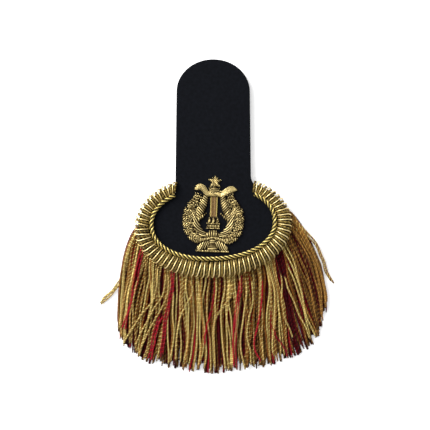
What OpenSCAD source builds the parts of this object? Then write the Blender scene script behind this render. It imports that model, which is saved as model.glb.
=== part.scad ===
// A fringed dress epaulette, lying face up on a table.
// X is across the strap, +Y points along the strap to its round tip, and +Z points up.
// The origin is on the table, below the middle of the whole epaulette.

/* [Board] */
// Width of the strap where it meets the oval
strap_w = 60.4; // [58:0.2:62]
// Width of the strap just below its round tip
strap_tip_w = 58.8; // [56:0.2:60]
// Distance from the middle of the oval to the tip of the strap
strap_reach = 131; // [110:1:140]
// Height of the rounded tip
tip_h = 25.8; // [20:0.2:29]
// Length of the oval face inside the cord, along X
oval_l = 95.2; // [90:0.2:100]
// Depth of the oval face inside the cord, along Y
oval_d = 53.6; // [50:0.2:57]
// Squareness of the oval face, where 2 is a true ellipse
oval_square = 2.2; // [2:0.1:2.4]
// How much fuller the crescent is below the oval than beside it, as a share of its width
fullness = 0.12; // [0:0.01:0.15]
// Turn of the oval against the strap, in degrees
oval_turn = 2.5; // [0:0.5:4]
// Thickness of the covered board
board_t = 3.6; // [3:0.1:4]
// Radius that the cloth makes round the board's edges
board_round = 1.1; // [0.6:0.1:1.3]
// Swell of the right side of the strap where the crescent begins
flare_w = 2.2; // [1.6:0.1:2.6]

/* [Crescent and cord] */
// Thickness of the twisted cord round the oval
rope_d = 3.8; // [3.2:0.1:3.8]
// Width of the padded roll
roll_w = 10.3; // [9:0.1:10.8]
// Height of the padded roll
roll_h = 9.2; // [8:0.1:9.6]
// Spacing of the bullion ribs round the roll
rib_pitch = 4; // [3.6:0.1:5]
// Depth of the furrow between two ribs
rib_depth = 0.7; // [0.3:0.1:0.9]

/* [Fringe] */
// Number of locks in the upper layer
outer_locks = 38; // [30:1:40]
// Number of locks in the lower layer
inner_locks = 28; // [24:1:32]
// Width of a lock of the upper layer
outer_lock_w = 5.4; // [4:0.1:6]
// Width of a lock of the lower layer
inner_lock_w = 6.6; // [5:0.1:7]
// How much shorter the shortest lock is than its neighbours
ragged = 4; // [2:0.5:7]
// Sideways sway of a lock
sway = 1.2; // [0:0.1:2]

/* [Badge] */
// Turn of the badge against the strap, in degrees
badge_turn = -2; // [-4:0.5:0]
// Height of the padded lyre above the cloth
lyre_h = 2.6; // [2:0.1:3]
// Radius of the star to its tips
star_r = 5.2; // [4:0.1:5.4]
// Height of the leaves above the cloth
leaf_h = 1.9; // [1.4:0.1:2.4]

/* [Clasp] */
// Width of the tongue
tongue_w = 14; // [10:0.5:18]
// Length of the tongue that a shoulder loop slides along
tongue_l = 72; // [60:1:80]
// Thickness of the metal
tongue_t = 1.2; // [1:0.1:1.4]

/* [Hidden] */

cloth = "#1c1d23";
gold = "#cfa94e";
old_gold = "#b48d42";
crimson = "#8f1a30";
brass = "#b79a55";

// Clear space between two pieces that lie on each other
gap = 0.1;
// Height of the board's underside above the table
board_z = 4;
board_top = board_z + board_t;
// How far the board runs out under the cord, past the visible oval
board_out = rope_d - gap;
rope_out = rope_d / 2 - 0.2;
roll_out = rope_d + gap + 0.1 + roll_w / 2;
roll_z = board_z - gap + roll_h / 2;
// Length over which the right side of the strap swells
flare_l = 7;
flare_y = 38;
left_side = -strap_w / 2;
right_side = strap_w / 2 + flare_w;
// Clear space between the strap's sides and the ends of the cord and the crescent
side_gap = 0.3;

// Plane geometry
function unit(v) = v / norm(v);
function mix(a, b, t) = a + (b - a) * t;
function turned(p, a) = [p.x * cos(a) - p.y * sin(a), p.x * sin(a) + p.y * cos(a)];
function bent(p, t) =
  p[0] * pow(1 - t, 3) + 3 * p[1] * t * pow(1 - t, 2) + 3 * p[2] * t * t * (1 - t) + p[3] * pow(t, 3);
function signed_power(v, k) = sign(v) * pow(abs(v), k);

// Point at angle a round the oval, at a distance outside its visible edge.
// The curves further out are true ellipses, and lie lower, so that the crescent is fullest below.
square_out = 14;
function round_oval(a, out) =
  let (k = 2 / mix(oval_square, 2, min(1, out / square_out)))
  turned([
    (oval_l / 2 + out) * signed_power(cos(a), k),
    (oval_d / 2 + out) * signed_power(sin(a), k) - fullness * out
  ], oval_turn);
function outward(a, out) =
  let (t = round_oval(a + 0.5, out) - round_oval(a - 0.5, out))
  unit([t.y, -t.x]);

// Angle between two limits at which the curve outside the oval reaches a given x
function meets(x, out, low, high, halvings = 24) =
  halvings == 0 ? low :
  let (middle = (low + high) / 2)
  round_oval(middle, out).x > x
    ? meets(x, out, middle, high, halvings - 1)
    : meets(x, out, low, middle, halvings - 1);
function left_end(out) = meets(left_side - side_gap, out, 90, 180);
function right_end(out) = meets(right_side + side_gap, out, 360, 450);

// Angles at even steps along the curve outside the oval
function even_angles(out, from, to, count) =
  let (
    steps = 160,
    da = (to - from) / steps,
    walk = [for (
      i = 0, s = 0;
      i <= steps;
      s = s + norm(round_oval(from + (i + 1) * da, out) - round_oval(from + i * da, out)), i = i + 1
    ) [s, from + i * da]]
  )
  [for (k = [0 : count]) lookup(walk[steps][0] * k / count, walk)];
function curve_length(out, from, to) =
  let (steps = 160, da = (to - from) / steps, bits = [for (i = [1 : steps])
    norm(round_oval(from + i * da, out) - round_oval(from + (i - 1) * da, out))])
  bits * [for (b = bits) 1];

// A closed solid through rings of points, each ring anticlockwise seen from the far end.
// The end faces are ladders, whose rungs join the first half of the ring to the second half.
function quad(a, b, c, d) = [[c, b, a], [d, c, a]];

module skin(rings) {
  n = len(rings[0]);
  last = (len(rings) - 1) * n;
  polyhedron(
    points = [for (ring = rings) each ring],
    faces = [
      for (r = [0 : len(rings) - 2], i = [0 : n - 1])
        let (a = r * n + i, b = r * n + (i + 1) % n)
        each quad(a, b, b + n, a + n),
      for (i = [0 : n / 2 - 2])
        each quad(n - 1 - i, n - 2 - i, i + 1, i),
      for (i = [0 : n / 2 - 2])
        each quad(last + i, last + i + 1, last + n - 2 - i, last + n - 1 - i)
    ]
  );
}

// Outline of the strap and the oval in one, anticlockwise from the tip, with as many points on
// the left as on the right, so that each rung of the end faces runs straight across
tip_step = 9;
oval_points = 46;
function strap_tip(angles) = [for (a = angles)
  [strap_tip_w / 2 * cos(a), strap_reach - tip_h + tip_h * sin(a)]];
function oval_side() =
  let (from = meets(left_side, board_out, 90, 180), to = meets(right_side, board_out, 360, 450))
  [for (a = even_angles(board_out, from, to, oval_points - 1)) round_oval(a, board_out)];
flare_shares = [1 : -0.25 : 0];
function left_strap() = [for (s = [0 : 0.25 : 1]) [left_side, flare_y - flare_l * s]];
function right_strap() = [for (s = flare_shares)
  [strap_w / 2 + flare_w * s * s, flare_y - flare_l * s]];
outline = concat(
  strap_tip([90 : tip_step : 180]), left_strap(),
  oval_side(),
  right_strap(), strap_tip([-0.01 : tip_step : 90])
);

function inset(points, depth) =
  let (n = len(points))
  [for (i = [0 : n - 1])
    let (t = unit(points[(i + 1) % n] - points[(i + n - 1) % n]))
    points[i] + depth * [-t.y, t.x]];

module board() {
  color(cloth)
  skin([
    for (k = [0 : 2])
      [for (p = inset(outline, board_round * (1 - sin(45 * k))))
        [p.x, p.y, board_z + board_round * (1 - cos(45 * k))]],
    for (k = [0 : 2])
      [for (p = inset(outline, board_round * (1 - cos(45 * k))))
        [p.x, p.y, board_top - board_round * (1 - sin(45 * k))]]
  ]);
}

// The cord is a plain tube, and its strands are too fine for this solid
rope_sides = 8;
rope_rings = 44;

module edging_rope() {
  color(gold)
  skin([
    for (a = even_angles(rope_out, left_end(rope_out), right_end(rope_out), rope_rings))
      let (p = round_oval(a, rope_out), n = outward(a, rope_out))
      [for (k = [0 : rope_sides - 1])
        let (
          turn = -360 * (k + 0.5) / rope_sides,
          side = rope_d / 2 * cos(turn),
          up = rope_d / 2 * sin(turn)
        )
        [p.x + n.x * side, p.y + n.y * side, board_top + gap + rope_d / 2 + up]]
  ]);
}

// The roll's ends lie flat against the sides of the strap
end_stretch = 10;
end_taper = 3.5;
roll_sides = 8;

function roll_across(a, from, to) =
  let (
    near = min(abs(a - from), abs(to - a)),
    flat = max(0, 1 - near / end_stretch)
  )
  mix(outward(a, roll_out), [0, 1], flat);

module crescent() {
  from = left_end(roll_out);
  to = right_end(roll_out);
  ribs = round(curve_length(roll_out, from, to) / rib_pitch);
  angles = even_angles(roll_out, from, to, 2 * ribs);
  color(gold)
  skin([
    for (i = [0 : 2 * ribs])
      let (
        a = angles[i],
        p = round_oval(a, roll_out),
        across = roll_across(a, from, to),
        furrow = rib_depth * (i % 2),
        half_w = roll_w / 2 * (1 - fullness * sin(a) * (sin(a) > 0 ? end_taper : 1))
      )
      [for (k = [0 : roll_sides - 1])
        let (
          turn = -360 * k / roll_sides,
          side = (half_w - furrow) * cos(turn),
          up = (roll_h / 2 - furrow) * sin(turn)
        )
        [p.x + across.x * side, p.y + across.y * side, roll_z + up]]
  ]);
}

// The fringe fans out from under the crescent.
// Columns: place along the hem in mm, angle of the root, x and y of the tip,
// how far the cords run outwards before they turn down, and the lean of their ends in degrees.
PLACE = 0;
ROOT = 1;
TIP_X = 2;
TIP_Y = 3;
REACH = 4;
LEAN = 5;
fan = [
  [  0, 190, -77,  -85,  4,   0],
  [ 15, 203, -71,  -99,  4,  -6],
  [ 38, 224, -53, -111,  5, -11],
  [ 63, 244, -28, -116,  5,  -7],
  [ 88, 266,  -4, -120,  5,  -2],
  [109, 286,  17, -118,  5,  -3],
  [128, 303,  36, -115,  6,  -7],
  [142, 314,  50, -112,  8,   6],
  [157, 323,  66, -107, 10,  20],
  [172, 337,  82,  -95, 13,  22],
  [186, 355,  90,  -76, 16,   6],
  [193, 366,  92,  -63, 18,   3],
  [200, 377,  90,  -47, 18,   2]
];
hem_length = fan[len(fan) - 1][PLACE];
function fan_at(place, column) = lookup(place, [for (row = fan) [row[PLACE], row[column]]]);

// The head is the braid under the crescent that the locks hang from.
// Columns: its underside, its top, and the width of a lock's root
head_out = roll_out + 1.5;
head_w = 5;
outer_head = [2, 3.5, 3];
inner_head = [0, 1.7, 4];

// Columns: share of the lock's length, height of its underside, its thickness and its width share
outer_form = [
  [0.05, 2.4, 1.8, 0.90],
  [0.18, 2.9, 2.9, 1.00],
  [0.42, 3.2, 3.2, 1.00],
  [0.72, 3.1, 2.8, 1.00],
  [1.00, 2.9, 1.8, 0.60]
];
inner_form = [
  [0.16, 0, 2.6, 1.00],
  [0.44, 0, 2.8, 1.00],
  [0.74, 0, 2.6, 1.00],
  [1.00, 0, 1.8, 0.60]
];
// Loose cords come down to the table outside the fringe
stray_form = [
  [0.05, 2.4, 1.8, 0.8],
  [0.35, 3.0, 2.4, 0.7],
  [0.62, 2.6, 2.4, 0.7],
  [0.85, 0.2, 2.6, 0.9],
  [1.00, 0.0, 1.8, 0.6]
];
// Columns: angle of the root, then x and y of two bending points and of the tip
strays = [
  [183, -70, -16, -66, -50, -92, -64],
  [382,  78,  10,  89, -24,  97, -49]
];

// Four points that a lock bends through, from its root to its tip
function lock_bends(place, short) =
  let (
    a = fan_at(place, ROOT),
    start = round_oval(a, head_out),
    tip = [fan_at(place, TIP_X), fan_at(place, TIP_Y)],
    down = [sin(fan_at(place, LEAN)), -cos(fan_at(place, LEAN))],
    hang = norm(tip - start) * 0.35,
    end = tip - down * short
  )
  [start, start + outward(a, head_out) * fan_at(place, REACH), end - down * hang, end];

// Columns of a lock: the angle of its root, the four points that it bends through, and its form
function layer(count, shorter, form) =
  [for (i = [0 : count - 1])
    let (place = hem_length * (i + 0.5) / count)
    [fan_at(place, ROOT), lock_bends(place, shorter + ragged * scatter(i + count)), form]];
function stray(row) =
  [
    row[0],
    [round_oval(row[0], head_out), [row[1], row[2]], [row[3], row[4]], [row[5], row[6]]],
    stray_form
  ];

// An even scatter between 0 and 1, from the golden section
function scatter(i) = let (s = i * 0.618034) s - floor(s);

// Neighbouring locks sway almost together
wave_step = 0.04;
function along(bends, t) = let (dt = 0.01) unit(bent(bends, t + dt) - bent(bends, t - dt));
function left_of(v) = [-v.y, v.x];
function middle_line(locks, i, t) =
  let (bends = locks[i][1], wave = sin(360 * (t + i * wave_step)) * 4 * t * (1 - t))
  bent(bends, t) + left_of(along(bends, t)) * sway * wave;

// The room on each side of a lock, a little under half the distance to its neighbours
room_share = 0.48;
function room(locks, i, p, way, t) =
  room_share * min([for (j = [i - 1, i + 1])
    if (j >= 0 && j < len(locks))
      abs(cross(way, middle_line(locks, j, t) - p))]);

// Rings of a lock: flat below, with a ridge along its top
shoulder_out = 0.9;
shoulder_up = 0.55;
function lock_rings(locks, i, width) =
  [for (row = locks[i][2])
    let (
      t = row[0],
      low = row[1],
      thick = row[2],
      p = middle_line(locks, i, t),
      way = along(locks[i][1], t),
      side = left_of(way) * min(width * row[3] / 2, room(locks, i, p, way, t)),
      shoulder = side * shoulder_out
    )
    [
      concat(p - side, low),
      concat(p + side, low),
      concat(p + shoulder, low + thick * shoulder_up),
      concat(p, low + thick),
      concat(p - shoulder, low + thick * shoulder_up)
    ]];

// The stretch of the head that a lock grows from: five corners of the lock's root on the outer
// wall, then four corners on the inner wall
function head_part(angle, head) =
  let (
    low = head[0],
    high = head[1],
    side = left_of(outward(angle, head_out)) * head[2] / 2,
    inner = side * 0.7,
    p = round_oval(angle, head_out),
    q = round_oval(angle, head_out - head_w)
  )
  [
    concat(p - side, low), concat(p + side, low), concat(p + side, high), concat(p, high),
    concat(p - side, high),
    concat(q - inner, low), concat(q + inner, low), concat(q + inner, high), concat(q - inner, high)
  ];

// A comb: every lock grows out of its own place in the head, and all are one solid
LOCK_CORNERS = 5;
HEAD_CORNERS = 9;

// Faces of one lock and its part of the head, whose points start at o
function lock_faces(o, rings) =
  let (e = o + HEAD_CORNERS + (rings - 1) * LOCK_CORNERS)
  concat(
    quad(o + 0, o + 5, o + 6, o + 1),
    quad(o + 5, o + 8, o + 7, o + 6),
    [[o + 3, o + 4, o + 8], [o + 2, o + 3, o + 8], [o + 7, o + 2, o + 8]],
    [for (r = [0 : rings - 1], k = [0 : LOCK_CORNERS - 1])
      let (
        a = o + (r == 0 ? 0 : HEAD_CORNERS + (r - 1) * LOCK_CORNERS),
        b = o + HEAD_CORNERS + r * LOCK_CORNERS,
        next = (k + 1) % LOCK_CORNERS
      )
      each quad(a + k, a + next, b + next, b + k)],
    [[e + 2, e + 1, e], [e + 3, e + 2, e], [e + 4, e + 3, e]]
  );
// Faces of the head between one lock, whose points start at o, and the next, whose start at m
function head_faces(o, m) =
  concat(
    quad(o + 1, o + 6, m + 5, m + 0),
    quad(o + 2, m + 4, m + 8, o + 7),
    quad(o + 6, o + 7, m + 8, m + 5),
    quad(o + 1, m + 0, m + 4, o + 2)
  );

module comb(locks, width, head) {
  rings = len(locks[0][2]);
  size = HEAD_CORNERS + rings * LOCK_CORNERS;
  last = (len(locks) - 1) * size;
  polyhedron(
    points = [for (i = [0 : len(locks) - 1])
      each concat(head_part(locks[i][0], head), [for (ring = lock_rings(locks, i, width)) each ring])],
    faces = [
      for (i = [0 : len(locks) - 1]) each lock_faces(i * size, rings),
      for (i = [0 : len(locks) - 2]) each head_faces(i * size, (i + 1) * size),
      each quad(0, 4, 8, 5),
      each quad(last + 1, last + 6, last + 7, last + 2)
    ]
  );
}

outer_layer = concat([stray(strays[0])], layer(outer_locks, 0, outer_form), [stray(strays[1])]);
inner_layer = layer(inner_locks, 1.5, inner_form);

module fringe_outer() {
  color(old_gold)
  comb(outer_layer, outer_lock_w, outer_head);
}

module fringe_inner() {
  color(crimson)
  comb(inner_layer, inner_lock_w, inner_head);
}

// The badge lies on the cloth, with its own origin near the middle of the lyre
badge_at = [0.3, 7.8, board_top + gap];

module on_badge() {
  translate(badge_at)
    rotate(badge_turn)
      children();
}

module badge_star() {
  tips = 5;
  color(gold)
  on_badge()
    translate([-0.4, 25.2, 0])
      linear_extrude(height = 2.2, scale = 0.3)
        polygon([for (k = [0 : 2 * tips - 1])
          (k % 2 == 0 ? star_r : star_r * 0.45) * [sin(180 * k / tips), cos(180 * k / tips)]]);
}

// A leaf is a low roof over a rhombus, with its keel along the middle
module leaf(at, turn, long, wide, high) {
  translate(at)
    rotate(turn)
      polyhedron(
        points = [
          [-long / 2, 0, 0], [-long * 0.05, -wide / 2, 0], [long / 2, 0, 0], [-long * 0.05, wide / 2, 0],
          [-long * 0.25, 0, high], [long * 0.25, 0, high]
        ],
        faces = [
          [0, 1, 2], [0, 2, 3],
          [4, 1, 0], [5, 1, 4], [5, 2, 1],
          [0, 3, 4], [4, 3, 5], [5, 3, 2]
        ]
      );
}

// Columns: x, y and width of the padded band of the left arm, from the foot up to the crossbar
arm = [
  [ -3.6, -18.6, 4.4],
  [ -8.0, -16.6, 5.2],
  [-12.3, -12.4, 6.0],
  [-14.1,  -6.6, 6.4],
  [-12.6,  -0.8, 6.6],
  [ -9.8,   4.6, 6.2],
  [ -7.7,   9.6, 4.8],
  [ -6.5,  14.2, 3.8]
];
// The left horn curls over like a scroll, and the right one ends in a leaf
scroll = [
  [ -8.3, 17.9, 3.7],
  [-11.2, 20.7, 3.8],
  [-14.0, 20.2, 3.2],
  [-15.6, 17.8, 1.4]
];
horn_leaf = [
  [ 9.0, 17.6, 4.2],
  [12.4, 20.2, 5.6],
  [15.8, 20.6, 4.4],
  [17.8, 18.6, 1.2]
];

function mirrored(rows) = [for (row = rows) [-row[0], row[1], row[2]]];

// A half-round padded band through the rows of a table
module padded_band(rows, high) {
  last = len(rows) - 1;
  skin([for (i = [0 : last])
    let (
      before = rows[max(i - 1, 0)],
      after = rows[min(i + 1, last)],
      along = unit([after[0] - before[0], after[1] - before[1]]),
      left = [-along.y, along.x],
      half = rows[i][2] / 2
    )
    [for (form = [[-1, 0], [1, 0], [0.9, 0.5], [0.45, 0.92], [-0.45, 0.92], [-0.9, 0.5]])
      [rows[i][0] + left.x * half * form[0], rows[i][1] + left.y * half * form[0], high * form[1]]]]);
}

module badge_lyre() {
  crossbar_y = 14.9;
  base_y = -17.6;
  color(gold)
  on_badge()
    union() {
      padded_band(concat(arm, scroll), lyre_h);
      padded_band(concat(mirrored(arm), horn_leaf), lyre_h);
      // Crossbar
      hull() {
        translate([-6.4, crossbar_y - 1.5, 0])
          cube([12.8, 3, lyre_h * 0.5]);
        translate([-4, crossbar_y - 0.9, 0])
          cube([8, 2.4, lyre_h * 0.85]);
      }
      // Pedestal of the star
      hull() {
        translate([-3.4, crossbar_y, 0])
          cube([6.8, 2, lyre_h * 0.7]);
        translate([-1.4, crossbar_y, 0])
          cube([2.8, 5.2, lyre_h * 0.5]);
      }
      for (side = [-1, 1]) {
        hull()
          leaf([side * 3.0, 17.6, 0], 90 - side * 28, 4.6, 1.9, lyre_h * 0.6);
        hull()
          leaf([side * 4.6, 16.6, 0], 90 - side * 52, 4.2, 1.8, lyre_h * 0.6);
      }
      // Rounded cap where the arms meet
      hull() {
        translate([-5, base_y - 1.6, 0])
          cube([10, 3.4, lyre_h * 0.6]);
        translate([-3, base_y - 1, 0])
          cube([6, 4.2, lyre_h]);
      }
      hull() {
        translate([-3.2, base_y + 1, 0])
          cube([6.4, 3, lyre_h * 0.6]);
        translate([-2.2, base_y + 1, 0])
          cube([4.4, 2.4, lyre_h * 0.85]);
      }
    }
}

module badge_strings() {
  strings = 4;
  band_w = 6;
  band_l = 16.6;
  string_w = 0.9;
  color(gold)
  on_badge()
    translate([0, 13.1 - band_l, 0]) {
      translate([-band_w / 2, 0, 0])
        cube([band_w, band_l, 0.6]);
      for (k = [0 : strings - 1])
        translate([-band_w / 2 + k * (band_w - string_w) / (strings - 1), 0, 0])
          cube([string_w, band_l, 1.3]);
    }
}

module badge_tailpiece() {
  block_w = 10.2;
  color(gold)
  on_badge()
    translate([0, -3.7, 0]) {
      translate([-block_w / 2, -8.8, 0])
        cube([block_w, 8.8, 1.1]);
      // Three points above a rail, with three small blocks below it
      for (k = [-1 : 1]) {
        translate([k * 3.2, -2.3, 0])
          linear_extrude(1.9)
            polygon([[-1.5, -1.5], [1.5, -1.5], [0, 1.6]]);
        translate([k * 3.2 - 1.25, -8.1, 0])
          cube([2.5, 2.6, 1.9]);
      }
      translate([-block_w / 2, -5.2, 0])
        cube([block_w, 0.9, 1.7]);
    }
}

// Columns: x and y of the middle of a pair of leaves, and the direction of the branch there
branch = [
  [-12.4, -21.2, 158],
  [-16.0, -19.2, 138],
  [-19.4, -14.9, 116],
  [-20.9,  -9.8,  99],
  [-21.3,  -4.6,  88],
  [-20.4,   0.8,  76],
  [-17.9,   5.3,  50],
  [-15.4,   9.4,  56],
  [-13.2,  13.2,  76]
];
pair_spread = 2.2;
leaf_l = 6.6;
leaf_w = 3.3;

module wreath() {
  // A thin pad under the leaves joins them
  pad_h = 0.7;
  pad_w = 3.4;
  for (i = [1 : len(branch) - 1])
    hull()
      for (row = [branch[i - 1], branch[i]])
        translate([row[0], row[1], 0])
          rotate(row[2])
            translate([-0.4, -pad_w / 2, 0])
              cube([0.8, pad_w, pad_h]);
  for (row = branch) {
    shrink = row[1] > 8 ? 0.8 : 1;
    for (side = [-1, 1])
      translate([row[0], row[1], 0])
        rotate(row[2])
          leaf([0, side * pair_spread * shrink, 0], side * 24, leaf_l * shrink, leaf_w * shrink, leaf_h);
    leaf([row[0], row[1], 0], row[2], leaf_l * shrink, leaf_w * shrink, leaf_h * 1.15);
  }
}

module badge_wreath_left() {
  color(gold)
  on_badge()
    wreath();
}

module badge_wreath_right() {
  color(gold)
  on_badge()
    mirror([1, 0, 0])
      wreath();
}

module badge_foot() {
  color(gold)
  on_badge()
    translate([0, -20.4, 0]) {
      linear_extrude(1.2)
        polygon([[-4.6, -0.4], [4.6, -0.4], [9.8, -3.4], [13.8, -7.8], [13, -10.9], [-13, -10.9],
          [-13.8, -7.8], [-9.8, -3.4]]);
      linear_extrude(2.2)
        polygon([[-2.6, -0.8], [2.6, -0.8], [7.2, -4.6], [10.6, -8.6], [10.6, -10.1],
          [-10.6, -10.1], [-10.6, -8.6], [-7.2, -4.6]]);
    }
}

// The tongue is one strip of brass: a pad under the board, a step down, and a long flat tongue
pad_l = 18;
pad_y = 22;
step_run = 5;
tongue_tip_y = pad_y + pad_l + step_run + tongue_l;
pad_z = board_z - gap - tongue_t;

module clasp_tongue() {
  color(brass)
  intersection() {
    translate([tongue_w / 2, 0, 0])
      rotate([90, 0, -90])
        linear_extrude(tongue_w)
          polygon([for (p = [
            [pad_y, pad_z + tongue_t],
            [pad_y, pad_z],
            [pad_y + pad_l, pad_z],
            [pad_y + pad_l + step_run, 0],
            [tongue_tip_y, 0],
            [tongue_tip_y, tongue_t],
            [pad_y + pad_l + step_run + tongue_t / 2, tongue_t],
            [pad_y + pad_l + tongue_t / 2, pad_z + tongue_t]
          ]) [-p.x, p.y]]);
    union() {
      translate([-tongue_w / 2, pad_y - 1, -1])
        cube([tongue_w, tongue_tip_y - tongue_w / 2 - pad_y + 1, board_z + 1]);
      translate([0, tongue_tip_y - tongue_w / 2, -1])
        cylinder(h = board_z + 1, d = tongue_w, $fn = 64);
    }
  }
}

// The origin goes to the middle of everything, found from the cords that reach furthest
function cord_points(locks, width) =
  [for (i = [0 : len(locks) - 1], ring = lock_rings(locks, i, width)) each ring];
all_points = concat(cord_points(outer_layer, outer_lock_w), cord_points(inner_layer, inner_lock_w));
all_x = [for (p = all_points) p.x];
all_y = [for (p = all_points) p.y];
middle = [(min(all_x) + max(all_x)) / 2, (min(all_y) + strap_reach) / 2];

module placed() {
  translate([-middle.x, -middle.y, 0])
    children();
}

placed() board();
placed() edging_rope();
placed() crescent();
placed() fringe_outer();
placed() fringe_inner();
placed() badge_star();
placed() badge_lyre();
placed() badge_strings();
placed() badge_tailpiece();
placed() badge_wreath_left();
placed() badge_wreath_right();
placed() badge_foot();
placed() clasp_tongue();
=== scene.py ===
# %% [markdown]
# # A full-dress epaulette
# The epaulette lies face up on a pale table. A cloth-covered board carries an embroidered lyre, a
# twisted gold cord runs round its oval end, a padded crescent is wound with bullion, and a fringe
# of twisted cords fans out from under it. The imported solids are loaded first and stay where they
# are. Every piece below is dressed onto them, in metres, in the same frame.

# %% Load the frame
import math

import bpy
import numpy as np
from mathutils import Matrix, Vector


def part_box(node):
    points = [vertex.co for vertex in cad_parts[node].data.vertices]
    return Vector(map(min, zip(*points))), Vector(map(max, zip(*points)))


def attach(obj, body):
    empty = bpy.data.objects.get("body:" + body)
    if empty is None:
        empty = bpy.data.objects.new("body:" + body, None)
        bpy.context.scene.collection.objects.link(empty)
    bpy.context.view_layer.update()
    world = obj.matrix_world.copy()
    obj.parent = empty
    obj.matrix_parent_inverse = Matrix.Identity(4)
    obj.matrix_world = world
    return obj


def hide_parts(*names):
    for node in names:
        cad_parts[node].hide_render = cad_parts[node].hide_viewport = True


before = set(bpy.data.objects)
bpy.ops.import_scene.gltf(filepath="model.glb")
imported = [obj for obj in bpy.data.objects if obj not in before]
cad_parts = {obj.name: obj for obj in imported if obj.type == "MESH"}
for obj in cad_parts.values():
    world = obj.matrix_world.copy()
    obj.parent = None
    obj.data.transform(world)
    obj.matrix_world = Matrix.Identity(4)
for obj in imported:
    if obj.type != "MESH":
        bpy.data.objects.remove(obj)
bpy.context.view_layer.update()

MM = 0.001
print("solids", sorted(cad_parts))

# %% [markdown]
# ## One place for the measures
# The board was drawn with the middle of its oval at the origin, and the whole epaulette was then
# moved so that its box is centred. The tongue lies on the strap's centre line and the board's top
# edge is the strap's tip, so those two solids give that move back, and no number has to be copied.

# %% Where the oval's middle is
STRAP_REACH = 131 * MM
tongue_low, tongue_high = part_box("clasp_tongue")
board_low, board_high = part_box("board")
MIDDLE = np.array([(tongue_low.x + tongue_high.x) / 2, board_high.y - STRAP_REACH])
BOARD_TOP = board_high.z
BOARD_BASE = board_low.z
print("middle of the oval, mm", (MIDDLE / MM).round(2), "cloth height, mm", round(BOARD_TOP / MM, 2))

# %% [markdown]
# ## Curves that everything follows
# The cord, the crescent and the fringe all follow the same oval, each at its own distance outside
# the cloth's visible edge. One function gives that family of curves, as in the solids.

# %% The oval family
# The cloth's visible oval: its length and depth, and the power that makes it squarer than an
# ellipse. That squareness fades out at SQUARE_OUT, and curves further out sit a little lower
OVAL_L = 95.2 * MM
OVAL_D = 53.6 * MM
OVAL_SQUARE = 2.2
SQUARE_OUT = 14 * MM
FULLNESS = 0.12
OVAL_TURN = math.radians(2.5)
STRAP_HALF = 30.2 * MM
FLARE = 2.2 * MM
SIDE_GAP = 0.3 * MM
CURVE_STEPS = 600
HALVINGS = 30


def turned(points, angle):
    """Flat points turned round the origin."""
    c, s = math.cos(angle), math.sin(angle)
    return np.stack([points[..., 0] * c - points[..., 1] * s,
                     points[..., 0] * s + points[..., 1] * c], -1)


def unit(vectors):
    return vectors / np.linalg.norm(vectors, axis=-1, keepdims=True)


def leftward(line):
    """Unit vectors to the left of a flat line, at each of its points."""
    way = unit(np.gradient(line, axis=0))
    return np.column_stack([-way[:, 1], way[:, 0]])


def length_along(line):
    """How far along a line each of its points is."""
    steps = np.linalg.norm(np.diff(np.asarray(line, float), axis=0), axis=1)
    return np.concatenate([[0], np.cumsum(steps)])


def oval(angle, out):
    """Points at angles in degrees round the oval, at a distance outside the cloth's edge."""
    a = np.radians(np.asarray(angle, float))
    power = 2 / (OVAL_SQUARE + (2 - OVAL_SQUARE) * min(1.0, out / SQUARE_OUT))
    x = (OVAL_L / 2 + out) * np.sign(np.cos(a)) * np.abs(np.cos(a)) ** power
    y = (OVAL_D / 2 + out) * np.sign(np.sin(a)) * np.abs(np.sin(a)) ** power
    return turned(np.stack([x, y - FULLNESS * out], -1), OVAL_TURN)


def outward(angle, out):
    """Unit vectors square to the curve and away from the oval, from a step of one degree."""
    t = unit(oval(np.asarray(angle, float) + 0.5, out) - oval(np.asarray(angle, float) - 0.5, out))
    return np.stack([t[..., 1], -t[..., 0]], -1)


def angle_at(x, out, low, high):
    """The angle between two limits at which a curve outside the oval reaches x."""
    rises = oval(high, out)[0] > oval(low, out)[0]
    for _ in range(HALVINGS):
        half = (low + high) / 2
        if (oval(half, out)[0] < x) == rises:
            low = half
        else:
            high = half
    return low


def ends(out, gap=SIDE_GAP):
    """Angles at which a curve outside the oval meets the strap's left and right sides."""
    return (angle_at(-STRAP_HALF - gap, out, 90, 180),
            angle_at(STRAP_HALF + FLARE + gap, out, 360, 450))


def even_angles(out, start, end, count):
    """Angles at even steps along the curve, and the curve's length."""
    a = np.linspace(start, end, CURVE_STEPS)
    s = length_along(oval(a, out))
    return np.interp(np.linspace(0, s[-1], count), s, a), s[-1]


print("cord ends, degrees", np.round(ends(1.7 * MM), 1))

# %% [markdown]
# ## Small tools
# A colour is written as the hex value that a painter would pick from a swatch, and one function
# turns it into the linear light that shaders mix. One function adds a node with its settings and
# its links, for shaders and for geometry alike. Where it is given a whole node as a link, it takes
# that node's first output.

# %% Colour and nodes


def colour(hex_value):
    """An sRGB hex colour as linear red, green, blue and alpha."""
    channels = [int(hex_value[i:i + 2], 16) / 255 for i in (1, 3, 5)]
    return [c / 12.92 if c <= 0.04045 else ((c + 0.055) / 1.055) ** 2.4 for c in channels] + [1.0]


def connect(tree, node, links):
    """Gives inputs, by name or place, a value, a socket, or another node's first output."""
    for key, value in links.items():
        if isinstance(value, bpy.types.Node):
            value = value.outputs[0]
        if isinstance(value, bpy.types.NodeSocket):
            tree.links.new(value, node.inputs[key])
        else:
            node.inputs[key].default_value = value
    return node


def add(tree, kind, links=None, **settings):
    """Adds a node with its settings and its links."""
    node = tree.nodes.new(kind)
    for name, value in settings.items():
        setattr(node, name, value)
    return connect(tree, node, links or {})


print("gold swatch as linear light", [round(c, 3) for c in colour("#cfa94e")])

# %% [markdown]
# A node tree needs something to grow on. Here that is always a bare polyline mesh, whose points
# carry named numbers such as a cord's tone or a roll's width, so that one tree can serve many
# cords that differ. When the tree has run, its result is kept as a plain mesh and the guide goes.

# %% Guides and results


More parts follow.
